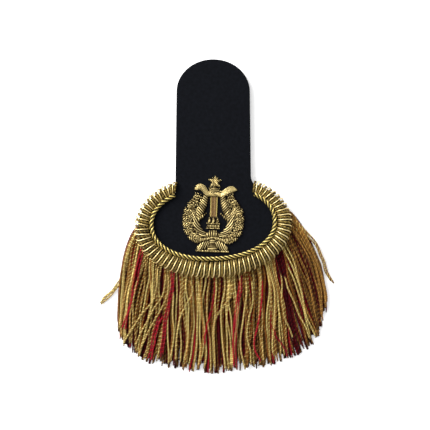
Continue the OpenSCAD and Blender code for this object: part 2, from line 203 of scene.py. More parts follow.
def new_object(name, data):
    """An object in the scene, at the origin."""
    thing = bpy.data.objects.new(name, data)
    bpy.context.scene.collection.objects.link(thing)
    return thing


def guide_mesh(name, lines, **values):
    """A mesh of bare polylines, one for each path. values gives numbers for each line's points."""
    points, edges, columns = [], [], {key: [] for key in values}
    for i, line in enumerate(lines):
        first = len(points)
        points.extend(np.asarray(line, float).tolist())
        edges.extend((first + k, first + k + 1) for k in range(len(line) - 1))
        for key, rows in values.items():
            columns[key].extend(np.broadcast_to(rows[i], (len(line),)).tolist())
    mesh = bpy.data.meshes.new(name + "_guide")
    mesh.from_pydata(points, edges, [])
    for key, column in columns.items():
        mesh.attributes.new(key, "FLOAT", "POINT").data.foreach_set("value", column)
    return mesh


def grow(name, mesh, tree, sizes):
    """Runs a node tree on a guide and keeps the result as a plain mesh object."""
    guide = new_object(name + "_guide", mesh)
    modifier = guide.modifiers.new("grow", "NODES")
    modifier.node_group = tree
    sockets = {s.name: s.identifier for s in tree.interface.items_tree if s.in_out == "INPUT"}
    for label, value in sizes.items():
        modifier[sockets[label]] = value
    graph = bpy.context.evaluated_depsgraph_get()
    result = bpy.data.meshes.new_from_object(guide.evaluated_get(graph), depsgraph=graph)
    bpy.data.objects.remove(guide)
    result.name = name
    print(name, "triangles", sum(len(p.vertices) - 2 for p in result.polygons))
    return new_object(name, result)


def swept(name, bodies, material):
    """One mesh of closed solids. Each is a list of rings of points, with a fan at either end."""
    points, faces = [], []
    for rings in bodies:
        rings = np.asarray(rings, float)
        count, sides = rings.shape[:2]
        first = len(points)
        points += rings.reshape(-1, 3).tolist() + [rings[0].mean(0).tolist(),
                                                   rings[-1].mean(0).tolist()]
        last = first + (count - 1) * sides
        for k in range(sides):
            after = (k + 1) % sides
            for r in range(count - 1):
                a, b = first + r * sides + k, first + r * sides + after
                faces.append((a, b, b + sides, a + sides))
            faces.append((len(points) - 2, first + after, first + k))
            faces.append((len(points) - 1, last + k, last + after))
    mesh = bpy.data.meshes.new(name)
    mesh.from_pydata(points, [], faces)
    mesh.shade_smooth()
    mesh.materials.append(material)
    print(name, "faces", len(faces))
    return new_object(name, mesh)


def dress(piece, slot, *nodes):
    """The piece rides on the epaulette and may stand for nodes, whose solids it hides. slot is not
    used.
    """
    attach(piece, "root")
    if nodes:
        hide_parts(*nodes)
    return piece


# %% [markdown]
# ## Thread finishes
# Nearly every surface here is thread: a core wrapped in a thin gilt strip, silk, or milled wool.
# What the eye reads is the wrap. A wrapped thread is a row of tiny ridges across its length, so
# each cord mesh carries how far along it a point is, and the finish turns that into ridges. Each
# cord also carries a tone, because no two cords of a fringe have aged alike. The real wrap has
# some five ridges to a millimetre. Here it has two, or none of it would show.

# %% Wrapped thread
WRAP_PITCH = 0.5 * MM
# How dark the painted shade gets in grooves, on flanks and at the feet of arches
GROOVE_SHADE = 1.3
# The clouds of a noise are about 1 / Scale metres wide, so those of the grime are some 4 mm
GRIME_SCALE = 260.0


def new_finish(name):
    """A material, its node tree and its shader."""
    material = bpy.data.materials.new(name)
    material.use_nodes = True
    return material, material.node_tree, material.node_tree.nodes["Principled BSDF"]


def wrapped_thread(name, dark, light, metallic, roughness, age, gloss=0.5, deep="#1a0e05"):
    """Thread wrapped in a fine strip: ridges across it, a tone for each cord, grime, and painted
    shade in the grooves between strands and wherever else a point is marked as buried."""
    material, tree, shader = new_finish(name)
    along, tone, buried = (add(tree, "ShaderNodeAttribute", attribute_name=key).outputs["Fac"]
                           for key in ("along", "tone", "buried"))
    place = add(tree, "ShaderNodeTexCoord").outputs["Object"]
    turns = add(tree, "ShaderNodeMath", {0: along, 1: 2 * math.pi / WRAP_PITCH},
                operation="MULTIPLY")
    ridge = add(tree, "ShaderNodeMath", {0: turns}, operation="SINE")
    grime = add(tree, "ShaderNodeTexNoise", {"Vector": place, "Scale": GRIME_SCALE, "Detail": 3.0})
    aged = add(tree, "ShaderNodeMath", {0: grime, 1: age, 2: tone}, operation="MULTIPLY_ADD")
    mixed = add(tree, "ShaderNodeMath", {0: aged, 1: age / 2}, operation="SUBTRACT",
                use_clamp=True)
    blend = add(tree, "ShaderNodeMix", {"Factor": mixed, 6: colour(dark),
                                        7: colour(light)}, data_type="RGBA")
    # Points marked as buried are painted darker, towards the deep colour: painted shade
    painted_shade = add(tree, "ShaderNodeMath", {0: buried, 1: GROOVE_SHADE}, operation="MULTIPLY",
               use_clamp=True)
    sunk = add(tree, "ShaderNodeMix", {"Factor": painted_shade, 6: blend.outputs[2],
                                       7: colour(deep)}, data_type="RGBA")
    bump = add(tree, "ShaderNodeBump", {"Height": ridge, "Strength": 0.3,
                                        "Distance": 0.06 * MM})
    connect(tree, shader, {"Base Color": sunk.outputs[2], "Normal": bump, "Metallic": metallic,
                           "Roughness": roughness, "Specular IOR Level": gloss})
    return material


# deep is the colour of the painted shade in the grooves and on the flanks of each thread
# Gilt strip over yellow cotton, worn: half metal, half thread
OLD_GOLD = wrapped_thread("old gold wrapped thread", "#8a4c0a", "#ffe68c", 0.55, 0.28, 0.7,
                          gloss=0.25, deep="#260c03")
BROWN_GOLD = wrapped_thread("tarnished gold wrapped thread", "#4a2808", "#cc9648", 0.5, 0.36, 0.5,
                            gloss=0.25, deep="#200a03")
# Spun silk has no metal. Its light comes back soft and in its own colour
CRIMSON = wrapped_thread("crimson silk thread", "#68060c", "#d4182e", 0.0, 0.38, 0.5, gloss=0.2,
                         deep="#2c0206")
MAROON = wrapped_thread("maroon silk thread", "#280406", "#740c1a", 0.0, 0.45, 0.4, gloss=0.08,
                        deep="#140203")
# Smooth purl is a polished wire coil and mirrors the light, rough purl is duller and broken up
BRIGHT_GOLD = wrapped_thread("bright gilt smooth purl", "#c8a650", "#f6e0a2", 0.7, 0.22, 0.4)
DULL_GOLD = wrapped_thread("dull gilt rough purl", "#140e04", "#a88e46", 0.6, 0.3, 0.8)
# Hard cord and fine purl are smooth, and range from dark brown to pale gold as their tone rises
ROPE_GOLD = wrapped_thread("bright gilt cord strand", "#2a2208", "#e8cf78", 0.65, 0.26, 0.4)
STITCH_GOLD = wrapped_thread("gilt embroidery purl", "#4c3a12", "#fbe29a", 0.7, 0.24, 0.9)
# The felt lies under the turns, where its yellow is painted nearly black: mostly painted shade of
# the turns over it, and some soiling
FELT = wrapped_thread("yellow felt padding", "#0e0a03", "#241a09", 0.0, 0.8, 0.8, gloss=0.1)
# Faded rose gold is browner and less metallic than the other gilt, which sets the strings off
COPPER = wrapped_thread("faded rose gold thread", "#70522a", "#b8945c", 0.4, 0.36, 0.5)

# %% [markdown]
# ## The plied cord, as a node tree
# A cord is a few strands laid round each other. Modelling one by hand is slow, and a
# texture of stripes looks flat at the edge of the cord, where real strands bulge out of it. So the
# tree copies each guide once for each strand, pushes each copy off the guide along a circle that
# turns with the length, and sweeps a small round section along it. It is a rope walk, in nodes.

# %% Plied cord tree


def new_tree(name, sizes):
    """A geometry tree with a guide mesh as its input, and named sizes."""
    tree = bpy.data.node_groups.new(name, "GeometryNodeTree")
    tree.interface.new_socket("Guide", in_out="INPUT", socket_type="NodeSocketGeometry")
    for label, (kind, value) in sizes.items():
        socket = tree.interface.new_socket(label, in_out="INPUT", socket_type="NodeSocket" + kind)
        if value is not None:
            socket.default_value = value
    tree.interface.new_socket("Piece", in_out="OUTPUT", socket_type="NodeSocketGeometry")
    return tree, tree.nodes.new("NodeGroupInput").outputs


def finish_tree(tree, mesh, material):
    """Smooth faces, real geometry and a material end every tree."""
    smooth = add(tree, "GeometryNodeSetShadeSmooth", {"Geometry": mesh})
    real = add(tree, "GeometryNodeRealizeInstances", {"Geometry": smooth})
    finish = add(tree, "GeometryNodeSetMaterial", {"Geometry": real,
                                                   "Material": material})
    add(tree, "NodeGroupOutput", {"Piece": finish})


def plied_cord_tree():
    tree, size = new_tree("plied cord", {
        "Strands": ("Int", 2),
        "Strand radius": ("Float", 0.6 * MM),
        "Lay radius": ("Float", 0.6 * MM),
        "Lay length": ("Float", 4 * MM),
        "Ring spacing": ("Float", 0.6 * MM),
        "Strand contrast": ("Float", 0.0),
        "Flank shade": ("Float", 0.0),
        "Sides": ("Int", 5),
        "Material": ("Material", None),
    })
    along, tone, thick = (
        add(tree, "GeometryNodeInputNamedAttribute", {"Name": key}).outputs["Attribute"]
        for key in ("along", "tone", "thick"))
    curve = add(tree, "GeometryNodeMeshToCurve", {0: size["Guide"]})
    smooth = add(tree, "GeometryNodeCurveSplineType", {0: curve}, spline_type="CATMULL_ROM")
    rings = add(tree, "GeometryNodeResampleCurve", {0: smooth, "Length": size["Ring spacing"]},
                mode="LENGTH")
    copies = add(tree, "GeometryNodeDuplicateElements", {0: rings, "Amount": size["Strands"]},
                 domain="SPLINE")
    share = add(tree, "ShaderNodeMath", {0: copies.outputs[1], 1: size["Strands"]},
                operation="DIVIDE")
    turns = add(tree, "ShaderNodeMath", {0: along, 1: size["Lay length"]},
                operation="DIVIDE")
    phase = add(tree, "ShaderNodeMath", {0: share, 1: turns})
    own = add(tree, "ShaderNodeMath", {0: phase, 1: tone})
    turn = add(tree, "ShaderNodeMath", {0: own, 1: 2 * math.pi}, operation="MULTIPLY")
    cosine = add(tree, "ShaderNodeMath", {0: turn}, operation="COSINE")
    sine = add(tree, "ShaderNodeMath", {0: turn}, operation="SINE")
    normal = add(tree, "GeometryNodeInputNormal")
    tangent = add(tree, "GeometryNodeInputTangent")
    side = add(tree, "ShaderNodeVectorMath", {0: tangent, 1: normal}, operation="CROSS_PRODUCT")
    first = add(tree, "ShaderNodeVectorMath", {0: normal, "Scale": cosine},
                operation="SCALE")
    second = add(tree, "ShaderNodeVectorMath", {0: side, "Scale": sine},
                 operation="SCALE")
    way = add(tree, "ShaderNodeVectorMath", {0: first, 1: second})
    reach = add(tree, "ShaderNodeMath", {0: size["Lay radius"], 1: thick},
                operation="MULTIPLY")
    push = add(tree, "ShaderNodeVectorMath", {0: way, "Scale": reach},
               operation="SCALE")
    place = add(tree, "GeometryNodeInputPosition")
    centred = add(tree, "GeometryNodeStoreNamedAttribute",
                  {0: copies, "Name": "centre", "Value": place},
                  domain="POINT", data_type="FLOAT_VECTOR")
    laid = add(tree, "GeometryNodeSetPosition", {0: centred, "Offset": push})
    # Every second strand may be of another tone
    parity = add(tree, "ShaderNodeMath", {0: copies.outputs[1], 1: 2.0}, operation="MODULO")
    uneven = add(tree, "ShaderNodeMath", {0: parity, 1: size["Strand contrast"],
                                          2: tone}, operation="MULTIPLY_ADD")
    toned = add(tree, "GeometryNodeStoreNamedAttribute",
                {0: laid, "Name": "tone", "Value": uneven},
                domain="POINT", data_type="FLOAT")
    section = add(tree, "GeometryNodeCurvePrimitiveCircle",
                  {"Resolution": size["Sides"], "Radius": size["Strand radius"]})
    cord = add(tree, "GeometryNodeCurveToMesh",
               {0: toned, 1: section, "Scale": thick,
                "Fill Caps": True})

    # A point near the cord's middle lies in the groove between strands, where shade falls, and is
    # marked to be painted darker
    centre = add(tree, "GeometryNodeInputNamedAttribute", {"Name": "centre"},
                 data_type="FLOAT_VECTOR").outputs["Attribute"]
    gap = add(tree, "ShaderNodeVectorMath", {0: place, 1: centre}, operation="DISTANCE")
    full = add(tree, "ShaderNodeMath", {0: size["Lay radius"], 1: size["Strand radius"]})
    nearness = add(tree, "ShaderNodeMath", {0: gap.outputs["Value"], 1: full},
                   operation="DIVIDE")
    depth = add(tree, "ShaderNodeMapRange", {0: nearness, 1: 0.5, 2: 0.97, 3: 1.0,
                                             4: 0.0})
    # A point level with the cord's middle is on its flank, where it touches the next cord, and is
    # marked to be painted darker as shade
    offset = add(tree, "ShaderNodeVectorMath", {0: place, 1: centre}, operation="SUBTRACT")
    rise = add(tree, "ShaderNodeSeparateXYZ", {0: offset}).outputs["Z"]
    level = add(tree, "ShaderNodeMath", {0: rise, 1: full}, operation="DIVIDE")
    flank = add(tree, "ShaderNodeMapRange", {0: level, 1: 0.1, 2: 0.75,
                                             3: size["Flank shade"], 4: 0.0})
    worst = add(tree, "ShaderNodeMath", {0: depth, 1: flank},
                operation="MAXIMUM")
    marked = add(tree, "GeometryNodeStoreNamedAttribute",
                 {0: cord, "Name": "buried", "Value": worst},
                 domain="POINT", data_type="FLOAT")
    finish_tree(tree, marked, size["Material"])
    return tree


PLIED_CORD = plied_cord_tree()


# A cord is thinner at its very end, and as thick as the rest a little way in
BLUNT = 0.78
BLUNT_RISE = 0.25
BLUNT_L = 1.5 * MM


def print_lengths(label, lines):
    lengths = [length_along(line)[-1] / MM for line in lines]
    print(label, len(lines), "lengths, mm", round(min(lengths)), "to", round(max(lengths)))


def lay_cords(name, lines, tones, material, slot, *nodes, **sizes):
    """A dressed piece of plied cords along 3-D lines, each with a tone."""
    along = [length_along(line) for line in lines]
    thick = [np.clip(BLUNT + BLUNT_RISE * np.minimum(s, s[-1] - s) / BLUNT_L, BLUNT, 1)
             for s in along]
    mesh = guide_mesh(name, lines, along=along, tone=tones, thick=thick)
    print_lengths(name, lines)
    return dress(grow(name, mesh, PLIED_CORD, {"Material": material, **sizes}), slot, *nodes)


print("tree inputs", [s.name for s in PLIED_CORD.interface.items_tree if s.in_out == "INPUT"])

# %% [markdown]
# ## Arches over a path, as a node tree
# Raised embroidery is always laid the same way: a length of wire coil goes over some padding, side
# by side with the last one. The badge's upper arms, bars, leaves and star are wound like that. So
# one tree stands an arch on the path for every turn, scales it to the padding's width and height
# there, slants it, and sweeps a round section along it.

# %% Arch tree


def arch_tree():
    tree, size = new_tree("arches over a path", {
        "Spacing": ("Float", 4 * MM),
        "Slant jitter": ("Float", 3.0),
        "Wire radius": ("Float", 0.8 * MM),
        "Arch points": ("Int", 14),
        "Sides": ("Int", 8),
        "Squareness": ("Float", 1.0),
        "Seed": ("Int", 4),
        "Material": ("Material", None),
    })
    slant, half_w, high = (
        add(tree, "GeometryNodeInputNamedAttribute", {"Name": key}).outputs["Attribute"]
        for key in ("slant", "half_w", "high"))
    curve = add(tree, "GeometryNodeMeshToCurve", {0: size["Guide"]})
    spots = add(tree, "GeometryNodeResampleCurve", {0: curve, "Length": size["Spacing"]},
                mode="LENGTH")

    # The arch is half of a unit circle, more or less square
    line = add(tree, "GeometryNodeCurvePrimitiveLine", {"Start": (0, 0, 0), "End": (1, 0, 0)})
    points = add(tree, "GeometryNodeResampleCurve", {0: line, "Count": size["Arch points"]})
    factor = add(tree, "GeometryNodeSplineParameter").outputs["Factor"]
    angle = add(tree, "ShaderNodeMath", {0: factor, 1: 180.0}, operation="MULTIPLY")
    radians = add(tree, "ShaderNodeMath", {0: angle}, operation="RADIANS")
    cosine = add(tree, "ShaderNodeMath", {0: radians}, operation="COSINE")
    across = add(tree, "ShaderNodeMath", {0: cosine, 1: -1.0}, operation="MULTIPLY")
    up = add(tree, "ShaderNodeMath", {0: radians}, operation="SINE")
    shaped = []
    for value in (across, up):
        amount = add(tree, "ShaderNodeMath", {0: value}, operation="ABSOLUTE")
        powered = add(tree, "ShaderNodeMath", {0: amount, 1: size["Squareness"]},
                      operation="POWER")
        sign = add(tree, "ShaderNodeMath", {0: value}, operation="SIGN")
        shaped.append(add(tree, "ShaderNodeMath", {0: powered, 1: sign},
                          operation="MULTIPLY"))
    shape = add(tree, "ShaderNodeCombineXYZ", {0: shaped[0], 2: shaped[1]})
    bent_line = add(tree, "GeometryNodeSetPosition", {0: points, "Position": shape})
    # The feet of each arch, where it meets the padding, are marked to be painted darker, as shade
    foot_shade = add(tree, "ShaderNodeMath", {0: up, 1: -0.65, 2: 0.65},
                    operation="MULTIPLY_ADD")
    arch = add(tree, "GeometryNodeStoreNamedAttribute",
               {0: bent_line, "Name": "buried", "Value": foot_shade},
               domain="POINT", data_type="FLOAT")

    # Each arch faces along the path, turned by the path's slant and a little of its own
    facing = add(tree, "FunctionNodeAlignRotationToVector",
                 {"Vector": add(tree, "GeometryNodeInputTangent")},
                 axis="Y", pivot_axis="Z")
    chance = add(tree, "FunctionNodeRandomValue", {2: -1.0, 3: 1.0, "Seed": size["Seed"]},
                 data_type="FLOAT")
    lean = add(tree, "ShaderNodeMath", {0: chance.outputs[1], 1: size["Slant jitter"],
                                        2: slant}, operation="MULTIPLY_ADD")
    lean_angle = add(tree, "ShaderNodeMath", {0: lean}, operation="RADIANS")
    spin = add(tree, "FunctionNodeAxisAngleToRotation", {"Axis": (0, 0, 1),
                                                         "Angle": lean_angle})
    rotation = add(tree, "FunctionNodeRotateRotation", {0: facing,
                                                        1: spin},
                   rotation_space="LOCAL")
    scale = add(tree, "ShaderNodeCombineXYZ", {0: half_w, 1: 1.0, 2: high})
    stood = add(tree, "GeometryNodeInstanceOnPoints",
                {0: spots, "Instance": arch,
                 "Rotation": rotation, "Scale": scale})
    shade = add(tree, "FunctionNodeRandomValue", {2: 0.15, 3: 0.95, "Seed": size["Seed"]},
                data_type="FLOAT")
    toned = add(tree, "GeometryNodeStoreNamedAttribute",
                {0: stood, "Name": "tone", "Value": shade.outputs[1]},
                domain="INSTANCE", data_type="FLOAT")
    real = add(tree, "GeometryNodeRealizeInstances", {0: toned})
    length = add(tree, "GeometryNodeSplineParameter").outputs["Length"]
    measured = add(tree, "GeometryNodeStoreNamedAttribute",
                   {0: real, "Name": "along", "Value": length},
                   domain="POINT", data_type="FLOAT")
    section = add(tree, "GeometryNodeCurvePrimitiveCircle",
                  {"Resolution": size["Sides"], "Radius": size["Wire radius"]})
    wire = add(tree, "GeometryNodeCurveToMesh", {0: measured, 1: section,
                                                 "Fill Caps": True})
    finish_tree(tree, wire, size["Material"])
    return tree


ARCHES = arch_tree()
print("arch tree nodes", len(ARCHES.nodes))

# %% [markdown]
# ## The edging cord
# A hard twisted gilt cord is sewn round the oval and hides the cloth's edge. It has six thin
# strands, bright and dull in turn, which draw long slashes across it.

# %% Edging cord
ROPE_D = 3.8 * MM
ROPE_OUT = ROPE_D / 2 - 0.2 * MM
rope_angles, rope_length = even_angles(ROPE_OUT, *ends(ROPE_OUT), 140)
rope_xy = MIDDLE + oval(rope_angles, ROPE_OUT)
rope_line = np.column_stack([rope_xy, np.full(len(rope_xy), BOARD_TOP + 0.1 * MM + ROPE_D / 2)])
lay_cords("edging_rope_strands", [rope_line], [0.85], ROPE_GOLD, "gold_cord", "edging_rope", **{
    "Strands": 6, "Strand radius": 0.62 * MM, "Lay radius": 1.25 * MM, "Lay length": 11.2 * MM,
    "Ring spacing": 0.4 * MM, "Strand contrast": -0.85, "Sides": 8})
print("cord length, mm", round(rope_length / MM, 1))

# %% [markdown]
# ## The crescent
# The crescent is a felt roll wound with bullion. The padding is an ellipse carried along the
# oval, thinner than the wound crescent, and its ends lie flat against the strap. Over it, turns of
# bright smooth purl alternate with broader turns of dull rough purl, which is a cord of thin
# twisted wires. Both are laid with the cord tree, a bright turn as a single strand.

# %% Crescent padding
ROLL_W = 10.3 * MM
ROLL_H = 9.2 * MM
ROLL_OUT = ROPE_D + 0.2 * MM + ROLL_W / 2
ROLL_Z = BOARD_BASE - 0.1 * MM + ROLL_H / 2
END_TAPER = 3.5
END_STRETCH = 10
WIND = 1.6 * MM
INNER_WIND = -0.1 * MM
roll_ends = ends(ROLL_OUT)


def roll_at(angles):
    """Middle, direction across and half width of the crescent at angles round the oval."""
    rise = np.sin(np.radians(angles))
    outer = ROLL_W / 2 * (1 - FULLNESS * rise * np.where(rise > 0, END_TAPER, 1))
    half = (outer + ROLL_W / 2) / 2
    near = np.minimum(angles - roll_ends[0], roll_ends[1] - angles)
    flat = np.clip(1 - near / END_STRETCH, 0, 1)[:, None]
    across = outward(angles, ROLL_OUT) * (1 - flat) + np.array([0, 1]) * flat
    shift = (outer - ROLL_W / 2)[:, None] / 2
    return MIDDLE + oval(angles, ROLL_OUT) + across * shift, across, half


roll_angles, roll_length = even_angles(ROLL_OUT, *roll_ends, 141)
roll_xy, roll_across, roll_half = roll_at(roll_angles)
section_angles = -np.linspace(0, 2 * np.pi, 24, endpoint=False)
roll_rings = [
    [(*(p + n * (w - (WIND if math.cos(t) > 0 else INNER_WIND)) * math.cos(t)),
      ROLL_Z + (ROLL_H / 2 - WIND) * math.sin(t)) for t in section_angles]
    for p, n, w in zip(roll_xy, roll_across, roll_half)
]
# The roll is sewn to a felt strip that passes under the board's edge, so no light comes through
STRIP_IN, STRIP_OUT = 1 * MM, 6 * MM
STRIP_LOW, STRIP_HIGH = 3.4 * MM, 3.85 * MM
strip_angles, _ = even_angles(ROPE_OUT, *ends(ROPE_OUT), 141)
strip_rings = [
    [(*(p + n * out), z) for out, z in [(STRIP_OUT, STRIP_HIGH), (STRIP_OUT, STRIP_LOW),
                                        (STRIP_IN, STRIP_LOW), (STRIP_IN, STRIP_HIGH)]]
    for p, n in zip(MIDDLE + oval(strip_angles, ROPE_OUT), outward(strip_angles, ROPE_OUT))
]
roll = swept("crescent_padding", [roll_rings, strip_rings], FELT)
dress(roll, "gold_bullion", "crescent")

# %% Crescent turns
TURN_PITCH = 4 * MM
TURN_START = math.radians(-22)
TURN_END = math.radians(202)
TURN_LEAN = -7
turns = round(roll_length / TURN_PITCH)
turn_angles, _ = even_angles(ROLL_OUT, *roll_ends, 2 * turns + 1)
turn_dice = np.random.default_rng(5)


def turn_lines(angles, radius, proud, sink, hook, jitter):
    """One line over the roll for each angle. proud is how far its outer end sticks out, sink is
    how far it lies below the highest turns, and hook is how far its outer end bends sideways."""
    lines = []
    tucks = TUCK + LOW_TUCK * np.clip(-np.sin(np.radians(angles)), 0, 1)
    for p, n, w, tuck in zip(*roll_at(angles), tucks):
        side = np.array([-n[1], n[0]])
        slant = math.tan(math.radians(TURN_LEAN + jitter * turn_dice.normal()))
        t = np.linspace(TURN_START, TURN_END, 20)
        reach = -np.cos(t)
        out = (reach * (w - radius) + np.clip(reach, 0, 1) * proud
               - np.clip(-reach, 0, 1) * tuck)
        tail = hook * np.clip((t - 2.0) / 1.2, 0, 1) ** 2
        xy = p + n * out[:, None] + side * (reach * w * slant + tail)[:, None]
        z = ROLL_Z + np.sin(t) * (ROLL_H / 2 - radius - sink) + 0.1 * MM * turn_dice.normal()
        lines.append(np.column_stack([xy, z]))
    return lines


# The inner ends tuck in against the edging cord, and further at the bottom, where the crescent's
# curve sits lower than the cord's
TUCK = 0.4 * MM
LOW_TUCK = 0.6 * MM
DULL_R = 1.06 * MM
dull_lines = turn_lines(turn_angles[0::2], radius=DULL_R, proud=0.8 * MM, sink=0.6 * MM,
                        hook=-0.6 * MM, jitter=2.5)
lay_cords("crescent_dull_turns", dull_lines, turn_dice.uniform(0.2, 0.8, len(dull_lines)),
          DULL_GOLD, "gold_bullion", **{
              "Strands": 3, "Strand radius": 0.44 * MM, "Lay radius": 0.64 * MM,
              "Lay length": 3.2 * MM, "Ring spacing": 0.45 * MM, "Strand contrast": 0.45,
              "Sides": 6})
BRIGHT_R = 0.52 * MM
bright_lines = turn_lines(turn_angles[1::2], radius=BRIGHT_R, proud=1.4 * MM, sink=-0.3 * MM,
                          hook=-1.6 * MM, jitter=3.0)
lay_cords("crescent_bright_turns", bright_lines, turn_dice.uniform(0.5, 1.0, len(bright_lines)),
          BRIGHT_GOLD, "gold_bullion", **{
              "Strands": 1, "Strand radius": BRIGHT_R, "Lay radius": 0.0, "Lay length": 4 * MM,
              "Ring spacing": 0.9 * MM, "Sides": 8})
print("roll length, mm", round(roll_length / MM, 1),
      "a turn's length, mm", round(length_along(dull_lines[turns // 2])[-1] / MM, 1))

# %% [markdown]
# ## The fringe
# The fringe is a fan of twisted cords that hang from a heading under the crescent. Each cord
# leaves the crescent square to it, bends down and ends in a ragged hem. A fan table like the one
# in the solids, a little fuller at both sides, says where a cord's root and tip are, and a bent
# line joins them. What makes it look like thread and not like a rake is small: cords gather in
# tufts with gaps between them, cords near each other sway together, each one also wanders on its
# own, and some lie across the rest.

# %% The fan
# Columns: place along the hem in mm, angle of the root, x and y of the tip in mm, how far the
# cords run outwards before they turn down, and the lean of their ends in degrees
FAN = np.array([
    [0, 178, -77, -84, 13, 0],
    [15, 197, -71, -98, 9, -6],
    [38, 224, -53, -111, 5, -11],
    [63, 244, -28, -116, 5, -7],
    [88, 266, -4, -120, 5, -2],
    [109, 286, 17, -118, 5, -3],
    [128, 303, 36, -115, 6, -7],
    [142, 314, 50, -112, 8, 6],
    [157, 323, 66, -107, 10, 20],
    [172, 337, 82, -95, 10, 22],
    [186, 355, 88, -78, 10, 8],
    [193, 365, 90.5, -72, 10, 3],
    [200, 374, 90, -64, 10, 0],
])
HEM_LENGTH = FAN[-1, 0]
HEM_STEPS = length_along(FAN[:, 2:4])
HEAD_OUT = ROLL_OUT + 1.5 * MM
# How far up from its tip a cord is pulled straight, as a share of the way to its root, and how
# near to the hem's ends, in mm, cords begin to sway less
HANG = 0.35
EDGE_CALM = 12
CORD_POINTS = 26
# Places along the hem where it parts into tufts
PARTINGS = np.array([0, 8, 22, 43, 59, 71, 85, 98, 115, 123, 134, 146, 157, 168, 183, 200.0])


def gathered(place, pull):
    """Moves a place towards the middle of its tuft."""
    k = np.clip(np.searchsorted(PARTINGS, place, side="right") - 1, 0, len(PARTINGS) - 2)
    centre = (PARTINGS[k] + PARTINGS[k + 1]) / 2
    return centre + (place - centre) * (1 - pull)


def fan_at(place):
    """Root angle, tip, reach and lean at a place along the hem, in mm from its left end."""
    return [np.interp(place, FAN[:, 0], FAN[:, k]) for k in range(1, 6)]


def bent(points, t):
    """A Bezier curve through the first and the last of four points."""
    a, b, c, d = (np.asarray(p)[None, :] for p in points)
    t = t[:, None]
    return a * (1 - t) ** 3 + 3 * b * t * (1 - t) ** 2 + 3 * c * t * t * (1 - t) + d * t ** 3


def fan_cord(place, shorter, sway, wander, pull, heights, dice):
    """One hanging cord as a 3-D line. heights are those of its root, its middle and its tip."""
    root_angle = fan_at(place)[0]
    _, tip_x, tip_y, reach, lean = fan_at(gathered(place, pull))
    start = oval(root_angle, HEAD_OUT)
    tip = np.array([tip_x, tip_y]) * MM
    down = np.array([math.sin(math.radians(lean)), -math.cos(math.radians(lean))])
    end = tip - down * shorter
    hang = np.linalg.norm(tip - start) * HANG
    bends = [start, start + outward(root_angle, HEAD_OUT) * reach * MM, end - down * hang, end]
    t = np.linspace(0, 1, CORD_POINTS)
    line = bent(bends, t)
    swell = np.minimum(1, t * 2.5)
    edge = min(1, place / EDGE_CALM, (HEM_LENGTH - place) / EDGE_CALM)
    common = sway * np.sin(2 * np.pi * (t * 1.1 + place / 37 + 0.6 * math.sin(place / 9)))
    own = wander * np.sin(2 * np.pi * (t * dice.uniform(0.5, 1.9) + dice.random()))
    own += 0.35 * wander * np.sin(2 * np.pi * (t * dice.uniform(2.5, 4.5) + dice.random()))
    drift = 0.8 * wander * dice.normal() * t * t
    aside = ((common + own) * swell + drift) * (0.35 + 0.65 * edge)
    line = line + leftward(line) * aside[:, None]
    z = np.interp(t, [0, 0.14, 0.5, 1], heights)
    z = z + 0.3 * MM * np.sin(2 * np.pi * (t * 1.8 + dice.random())) * swell
    return np.column_stack([line + MIDDLE, np.maximum(z, min(heights))])


def hanging_layer(count, seed, loose, sway, wander, pull, ragged, heights, spread, margin=0,
                  close=False):
    """Cords along the hem, each a little off its place, height and length, with sizes in mm. A
    close layer has them at equal distances between their tips."""
    sway, wander, ragged, spread = (size * MM for size in (sway, wander, ragged, spread))
    dice = np.random.default_rng(seed)
    lines, tones, places = [], [], []
    for i in range(count):
        share = np.clip((i + 0.5 + loose * dice.normal()) / count, 0, 1)
        place = float(margin + (HEM_LENGTH - 2 * margin) * share)
        if close:
            place = float(np.interp(share * HEM_STEPS[-1], HEM_STEPS, FAN[:, 0]))
        lift = spread * dice.uniform(-1, 1)
        own = np.array(heights) * MM + lift * np.array([0, 0.5, 1, 0.6])
        lines.append(fan_cord(place, ragged * dice.uniform(-0.35, 1), sway, wander, pull, own,
                              dice))
        tones.append(float(np.clip(dice.normal(0.76, 0.3), 0, 1)))
        places.append(place)
    return lines, np.array(tones), np.array(places)


top = hanging_layer(count=98, seed=11, loose=0.3, sway=1.5, wander=0.8, pull=0.15, ragged=6,
                    heights=[3.4, 4.2, 5.7, 4.5], spread=1)
middle = hanging_layer(count=112, seed=12, loose=0.3, sway=1.4, wander=0.6, pull=0.05, ragged=7,
                       heights=[2.9, 3.1, 3.5, 3], spread=0.4, margin=1)
# The lowest cords hardly sway, so that few slits open between them
low = hanging_layer(count=156, seed=13, loose=0.05, sway=0.3, wander=0.1, pull=0, ragged=7,
                    heights=[1.4, 1.4, 1.45, 1.4], spread=0.05, close=True)
for label, layer in (("top cords", top), ("middle cords", middle), ("low cords", low)):
    print_lengths(label, layer[0])

# %% [markdown]
# A few cords lie across the others, and the eye finds them first. They and the bright crimson
# ones are placed one by one, by their bends in mm from the oval's middle.

